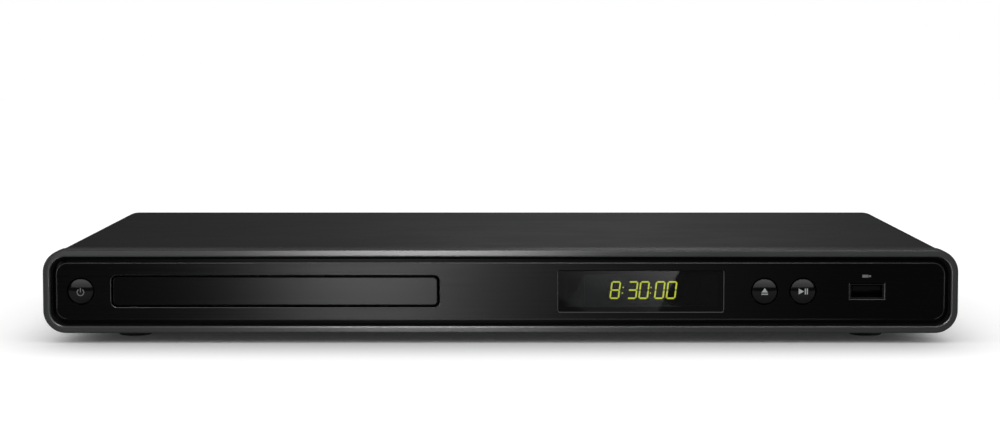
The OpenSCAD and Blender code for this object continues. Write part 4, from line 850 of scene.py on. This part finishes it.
def make_jack_inserts():
    """The sockets' coloured insides, one finish each."""
    left, pitch, between_rows = 13.0, 14.0, 19.5
    mesh = eased_mesh("jack_inserts", 0.15)
    for name in ("jack_green", "jack_blue", "jack_red", "jack_yellow", "jack_white", "jack_orange"):
        mesh.materials.append(FINISH[name])
    for face in mesh.polygons:
        column = min(int((face.center.x / MM - left) / pitch), 3)
        face.material_index = column if face.center.z / MM > between_rows else (3, 4, 2, 5)[column]
    stand_for("jack_inserts", mesh)


def add_copies(name, part, places, slot, *turn_and_seed, paint=None):
    """Copies of part that ride on the case. paint is their finish where it isn't the slot's."""
    add_piece(name, repeated(name, part, places, paint or slot, *turn_and_seed), "case", slot)


def make_socket_contacts():
    """Four flat contacts under the front socket's tongue."""
    part = gathered("contact", [block(-0.45, 0.45, -4.2, 4.2, 0.0, 0.12, 0.05, 3)])
    z = MID_Z + 1.15 - 0.92     # the underside of the tongue
    places = [((USB_X + dx, FACE_Y + 9.4, z), (0.0, 0.0, -1.0), 0.0, ONE) for dx in (-3.5, -1.0, 1.0, 3.5)]
    add_copies("socket-contacts", part, places, "nickel_plate", paint="contact_gold")


def make_chip_legs():
    """Bent legs along the sides of the board's chips."""
    leg = gathered("leg", [block(0.0, 0.55, -0.13, 0.13, 0.55, 0.75, 0.03, 3),
                           block(0.45, 0.62, -0.13, 0.13, 0.0, 0.75, 0.03, 3),
                           block(0.55, 1.25, -0.13, 0.13, 0.0, 0.14, 0.03, 3)])
    places = []
    for low, high in islands("board_chips"):
        wide, deep = high.x - low.x, high.y - low.y
        pitch = 0.8 if min(wide, deep) > 9 else 1.27
        sides = [(0, 90), (0, 270)] if deep < wide else [(1, 0), (1, 180)]
        if abs(wide - deep) < 1:
            sides = [(0, 90), (0, 270), (1, 0), (1, 180)]
        mid, z = (low + high) / 2, low.z + 0.02
        for along, turn in sides:
            count = int(((deep if along else wide) - 1.2) / pitch) + 1
            for k in range(count):
                t = (k - (count - 1) / 2) * pitch
                if along:
                    point = (high.x if turn == 0 else low.x, mid.y + t, z)
                else:
                    point = (mid.x + t, high.y if turn == 90 else low.y, z)
                places.append((point, UP, turn, ONE))
    add_copies("chip-legs", leg, places, "nickel_plate")


def make_capacitor_tops():
    """The bare metal tops of the electrolytic capacitors, with a cross on them."""
    top = gathered("top", [turned([(0, 0), (0.8, 0.0), (0.86, 0.05), (0.8, 0.12), (0.0, 0.12)], 20),
                           block(-0.7, 0.7, -0.04, 0.04, 0.1, 0.15, 0.02, 3),
                           block(-0.04, 0.04, -0.7, 0.7, 0.1, 0.15, 0.02, 3)])
    places = []
    for node in ("board_capacitors", "supply_capacitors"):
        for low, high in islands(node):
            mid, r = (low + high) / 2, (high.x - low.x) / 2
            places.append(((mid.x, mid.y, high.z - 0.25), UP, 0.0, (r, r, 1.6)))
    add_copies("capacitor-tops", top, places, "heatsink_alloy", ANY_TURN, 3, paint="can_top")


def make_small_board_parts():
    """Rows of small resistors and capacitors where the boards are free."""
    by_solid = ("board_chips", "board_capacitors", "supply_capacitors", "inner_screws")
    around = ("main_board", "supply_board", "top_cover", "bottom_chassis", "rear_panel", "loader_frame",
              "disc_tray", "trim_ring")
    taken = [box for node in by_solid for box in islands(node)]
    taken += [[Vector(corner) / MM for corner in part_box(n)] for n in NODES if n not in by_solid + around]
    board_top, clear_of, tallest = 9.9, 2, 11.5

    def free(x, y):
        return not any(a.x - clear_of < x < b.x + clear_of and a.y - clear_of < y < b.y + clear_of
                       and a.z < tallest and b.z > 9 for a, b in taken)

    places = []
    for x0, x1, y0, y1 in ((-7.0, 101.0, -12.0, 80.0), (115.0, 171.0, -58.0, 76.0)):
        for row in range(int((y1 - y0) / 6.5)):
            for col in range(int((x1 - x0) / 3.2)):
                x, y = x0 + 3.2 * col + 0.7 * (row % 3), y0 + 6.5 * row
                # About three in seven of the free places are used, in an uneven pattern
                if free(x, y) and (3 * row + 5 * col + row * col) % 7 < 3:
                    places.append(((x, y, board_top), UP, 90.0 * ((row + col) % 2), ONE))
    chip = gathered("chip-part", [block(-0.55, 0.55, -0.42, 0.42, 0.0, 0.5, 0.06, 3)])
    ends = gathered("chip-ends", [block(-0.85, -0.5, -0.43, 0.43, 0.0, 0.52, 0.06, 3),
                                  block(0.5, 0.85, -0.43, 0.43, 0.0, 0.52, 0.06, 3)])
    add_copies("small-parts", chip, places, "part_black")
    add_copies("small-part-ends", ends, places, "nickel_plate")


def make_leads():
    """Flat runs of round leads between their plugs."""
    def harness(node, name, path, leads, pitch, radius, slot, plugs):
        """Leads along path, each pitch from the last, and plugs given by their lowest and highest corners."""
        spine = bpy.data.meshes.new(name)
        spine.from_pydata([in_metres(p) for p in path], [(i, i + 1) for i in range(len(path) - 1)], [])
        parts = [grow(FLAT_LEADS, spine, Leads=leads, Pitch=in_metres(pitch), Radius=radius * MM,
                      Finish=FINISH[slot])]
        shade_round(parts[0], 50)
        for low, high in plugs:
            plug = gathered("plug", [block(low[0], high[0], low[1], high[1], low[2], high[2], 0.35)])
            plug.materials.append(FINISH["plug_white"])
            parts.append(plug)
        stand_for(node, joined(name, *parts))

    path = [(62.0, -86.2 + 74.5 * i / 24, 10.7 - 1.6 * math.sin(math.pi * i / 24)) for i in range(25)]
    harness("front_harness", "front-leads", path, 11, (1.2, 0, 0), 0.52, "lead_white",
            [((60, -89.9, 8.3), (76, -85.9, 14.3)), ((60, -12.1, 9.9), (76, -6.5, 14.9))])
    path = [(99.5 + 18.2 * i / 16, -1.6, 13.9 + 1.6 * math.sin(math.pi * i / 16)) for i in range(17)]
    harness("supply_harness", "supply-leads", path, 6, (0, 1.65, 0), 0.7, "lead_red",
            [((94, -3.5, 9.9), (100, 8.5, 15.9)), ((117, -3.5, 9.9), (123, 8.5, 15.9))])


def make_socket_mark():
    """A plain pictogram of a plug-in stick over the front socket."""
    up = MID_Z + 6.0
    shapes = [plate(oblong(USB_X + x0, USB_X + x1, up - half, up + half), FACE_Y + 0.77, FACE_Y + 0.81)
              for x0, x1, half in ((-1.9, 0.5, 0.55), (0.62, 1.5, 0.36))]
    mesh = gathered("socket-mark", shapes, None)
    mesh.materials.append(FINISH["print_grey"])
    add_piece("socket-mark", mesh, "case", "fascia_metal")


def make_front_socket():
    # The shell takes the near-black finish, painted shade for the opening's dark inside
    mesh = eased_mesh("usb_shell", 0.08)
    mesh.materials.append(FINISH["socket_shell_painted_shade"])
    stand_for("usb_shell", mesh)


make_trim_ring()
make_front_edges()
make_front_socket()
make_fascia_and_door()
make_digits()
make_button_marks()
make_screws()
make_jack_inserts()
make_socket_contacts()
make_chip_legs()
make_capacitor_tops()
make_small_board_parts()
make_leads()
make_socket_mark()

EASE = {"top_cover": 0.25, "bottom_chassis": 0.2, "rear_panel": 0.15, "front_carrier": 0.15,
        "disc_tray": 0.35, "loader_frame": 0.2, "usb_tongue": 0.15, "display_window": 0.3,
        "display_module": 0.2, "feet": 0.4, "foot_pads": 0.4, "drive_belt": 0.2, "mains_inlet": 0.3,
        "supply_transformer": 0.5, "power_button": 0.1, "eject_button": 0.1, "play_button": 0.1}
for node in sorted(set(NODES) - DONE):
    stand_for(node, eased_mesh(node, EASE.get(node, FINE)))


# ---------- stage ----------

WHITE = (1.0, 1.0, 1.0, 1.0)


def background_rays(w):
    """1 where the camera, a reflection or a view through glass looks, 0 for light that falls on things."""
    path = w.add("ShaderNodeLightPath").outputs
    return w.math("MAXIMUM", path["Is Camera Ray"],
                  w.math("MAXIMUM", path["Is Glossy Ray"], path["Is Transmission Ray"]))


def light_world(level, low, high):
    """A surround that lights things evenly by level and is white to the camera. Reflections see it as a
    studio room: low near the horizon, high overhead."""
    world = bpy.data.worlds.new("studio")
    world.use_nodes = True
    bpy.context.scene.world = world
    w = Wires(world.node_tree)
    soft = world.node_tree.nodes["Background"]
    soft.inputs["Color"].default_value = WHITE
    soft.inputs["Strength"].default_value = level
    way = w.add("ShaderNodeSeparateXYZ", Vector=w.add("ShaderNodeTexCoord").outputs["Generated"])
    room = w.ramp(way.outputs[2], 0.15, 0.8, low, high)
    seen = w.math("MAXIMUM", w.add("ShaderNodeLightPath").outputs["Is Camera Ray"], room)
    white = w.add("ShaderNodeBackground", Color=WHITE, Strength=seen)
    mix = w.add("ShaderNodeMixShader")
    for value, socket in zip((background_rays(w), soft.outputs[0], white.outputs[0]), mix.inputs):
        w.feed(value, socket)
    w.feed(mix.outputs[0], world.node_tree.nodes["World Output"].inputs[0])


def lay_floor(near, level):
    """A pale floor from near backwards. Past the object's footprint it shines by itself a little, so that it
    merges into the white surround and the soft shadow round the feet stays."""
    side, far = 3.0, 3.0
    dark_x, dark_y, fade_over, own_low, own_high = 0.155, 0.112, 0.05, 0.02, 0.26
    mesh = bpy.data.meshes.new("floor")
    mesh.from_pydata([(-side, near, 0), (side, near, 0), (side, far, 0), (-side, far, 0)], [], [(0, 1, 2, 3)])
    floor = placed("floor", mesh)
    mat, w, shader = material("pale_floor", Base_Color=(level, level, level, 1.0), Roughness=0.8,
                              Specular_IOR_Level=0.0, Emission_Color=WHITE)
    place = w.add("ShaderNodeSeparateXYZ", Vector=w.add("ShaderNodeTexCoord").outputs["Object"]).outputs
    out_x, out_y = (w.math("MAXIMUM", w.math("SUBTRACT", w.math("ABSOLUTE", place[i]), reach), 0.0)
                    for i, reach in ((0, dark_x), (1, dark_y)))
    away = w.math("SQRT", w.math("MULTIPLY_ADD", out_x, out_x, w.math("MULTIPLY", out_y, out_y)))
    lift = w.ramp(away, 0.0, fade_over, own_low, own_high)
    w.feed(w.math("MULTIPLY", background_rays(w), lift), shader.inputs["Emission Strength"])
    mesh.materials.append(mat)


def lamp(name, at, aim, size, radiance, only, on_matt=False, lean=0.0, fade=(), along=(1.0, 0.0, 0.0)):
    """A rectangular softbox. radiance is against white, and places and sizes are in metres. It lights only
    the pieces in only, and shows in their reflections alone unless on_matt says that it lights matt
    surfaces too. lean turns it about its aim in degrees. fade is a list of (place, share) between which its
    brightness changes, with places measured in the direction of along."""
    data = bpy.data.lights.new(name, "AREA")
    data.shape = "RECTANGLE"
    data.size, data.size_y = size
    data.energy = radiance * math.pi * size[0] * size[1]
    obj = placed(name, data)
    turn = (Vector(aim) - Vector(at)).to_track_quat("-Z", "Y").to_matrix().to_4x4()
    obj.matrix_world = Matrix.Translation(at) @ turn @ Matrix.Rotation(math.radians(lean), 4, "Z")
    obj.visible_camera = False
    obj.visible_diffuse = on_matt
    lit = bpy.data.collections.new(name + "-lit")
    for piece in only:
        lit.objects.link(bpy.data.objects[piece])
    obj.light_linking.receiver_collection = lit
    if fade:
        data.use_nodes = True
        w = Wires(data.node_tree)
        spot = w.add("ShaderNodeNewGeometry").outputs["Position"]
        place = w.worked("ShaderNodeVectorMath", "DOT_PRODUCT", (spot, along))["Value"]
        share = fade[0][1]
        for (start, old), (end, new) in zip(fade, fade[1:]):
            share = w.math("ADD", share, w.ramp(place, start, end, 0.0, new - old))
        w.feed(share, data.node_tree.nodes["Emission"].inputs["Strength"])


def front_lamp(name, x, z, size, radiance, only, further=0.0, **more):
    """A lamp in front that faces straight backwards. From the camera, its reflection in the flat front lies
    about 0.39 mm to the side for each millimetre that the lamp is moved."""
    lamp(name, (x, FRONT_LAMPS_Y - further, z), (x, -0.1, z), size, radiance, only, **more)


def place_camera(at, down, lens):
    data = bpy.data.cameras.new("camera")
    data.lens = lens
    data.sensor_width = 36.0
    camera = placed("camera", data)
    camera.matrix_world = Matrix.Translation(at) @ Matrix.Rotation(math.radians(90.0 - down), 4, "X")
    bpy.context.scene.camera = camera


bpy.context.scene.view_settings.view_transform = "Standard"
place_camera((-0.0002, -1.0805, 0.1252), 4.297, 89.85)
light_world(0.97, 0.016, 0.8)
lay_floor(-0.315, 0.85)
RING = ("trim-ring-finished", "doorway-edge")
FASCIA = ("fascia-plate-finished", "tray-door-finished", "fascia-bead")
CAPS = ("power-button-finished", "eject-button-finished", "play-button-finished")
COVER = ("top-cover-finished",)
LENS = ("display-window-finished",)
FRONT_LAMPS_Y = -1.6
front_lamp("ring_strip", -0.22, 0.4, (0.66, 1.3), 67.0, RING,
           fade=[(-0.3, 0.08), (-0.1, 1.0), (-0.08, 1.0), (0.1, 0.0)])
front_lamp("fascia_strip", 0.03, 0.4, (0.64, 1.3), 86.0, FASCIA,
           fade=[(-0.27, 0.0), (-0.16, 1.0), (-0.13, 1.0), (0.01, 0.08), (0.33, 0.0)])
lamp("ring_glow", (0.17, 1.5, 0.87), (0.04, 0.0, 0.03), (0.5, 0.3), 2.7, RING,
     fade=[(-0.08, 0.0), (0.15, 1.0), (0.2, 1.0), (0.42, 0.0)])
lamp("ring_top", (0.12, -0.5, 0.9), (0.12, -0.1, 0.03), (0.5, 0.3), 9.0, RING)
front_lamp("lip_line", 0.235, 0.78, (0.73, 0.36), 105.0, RING,
           fade=[(-0.12, 0.0), (-0.01, 1.0), (0.02, 1.0), (0.16, 0.32)])
lamp("cover_glow", (0.1, 1.5, 0.87), (0.04, 0.0, 0.03), (0.3, 0.3), 5.5, COVER)
lamp("bead_line", (0.07, -0.67, 0.42), (0.07, -0.1, 0.02), (0.3, 0.5), 24.0, ("fascia-bead",))
lamp("left_fill", (-1.5, -0.9, 0.5), (0.0, -0.1, 0.02), (1.0, 1.0), 11.0, RING + FASCIA)
front_lamp("cap_box", 0.0, 0.78, (3.0, 1.1), 6.0, CAPS, fade=[(0.2, 0.6), (1.1, 1.2)], along=UP)
front_lamp("window_card", 0.116, 0.0748, (0.12, 0.12), 2.8, LENS, further=0.004, lean=-27.9,
           fade=[(0.1, 0.06), (0.25, 1.0)], along=(0.6, 0.0, 1.2))
front_lamp("window_base", 0.1085, 0.0748, (0.6, 0.6), 0.13, LENS, further=0.01)
REST = [piece.name for piece in bpy.context.scene.objects
        if piece.type == "MESH" and piece.name not in RING + FASCIA + CAPS + COVER + LENS + ("floor",)]
lamp("key", (-0.7, -0.9, 1.2), (0.0, 0.0, 0.02), (0.8, 0.8), 3.0, REST, on_matt=True)
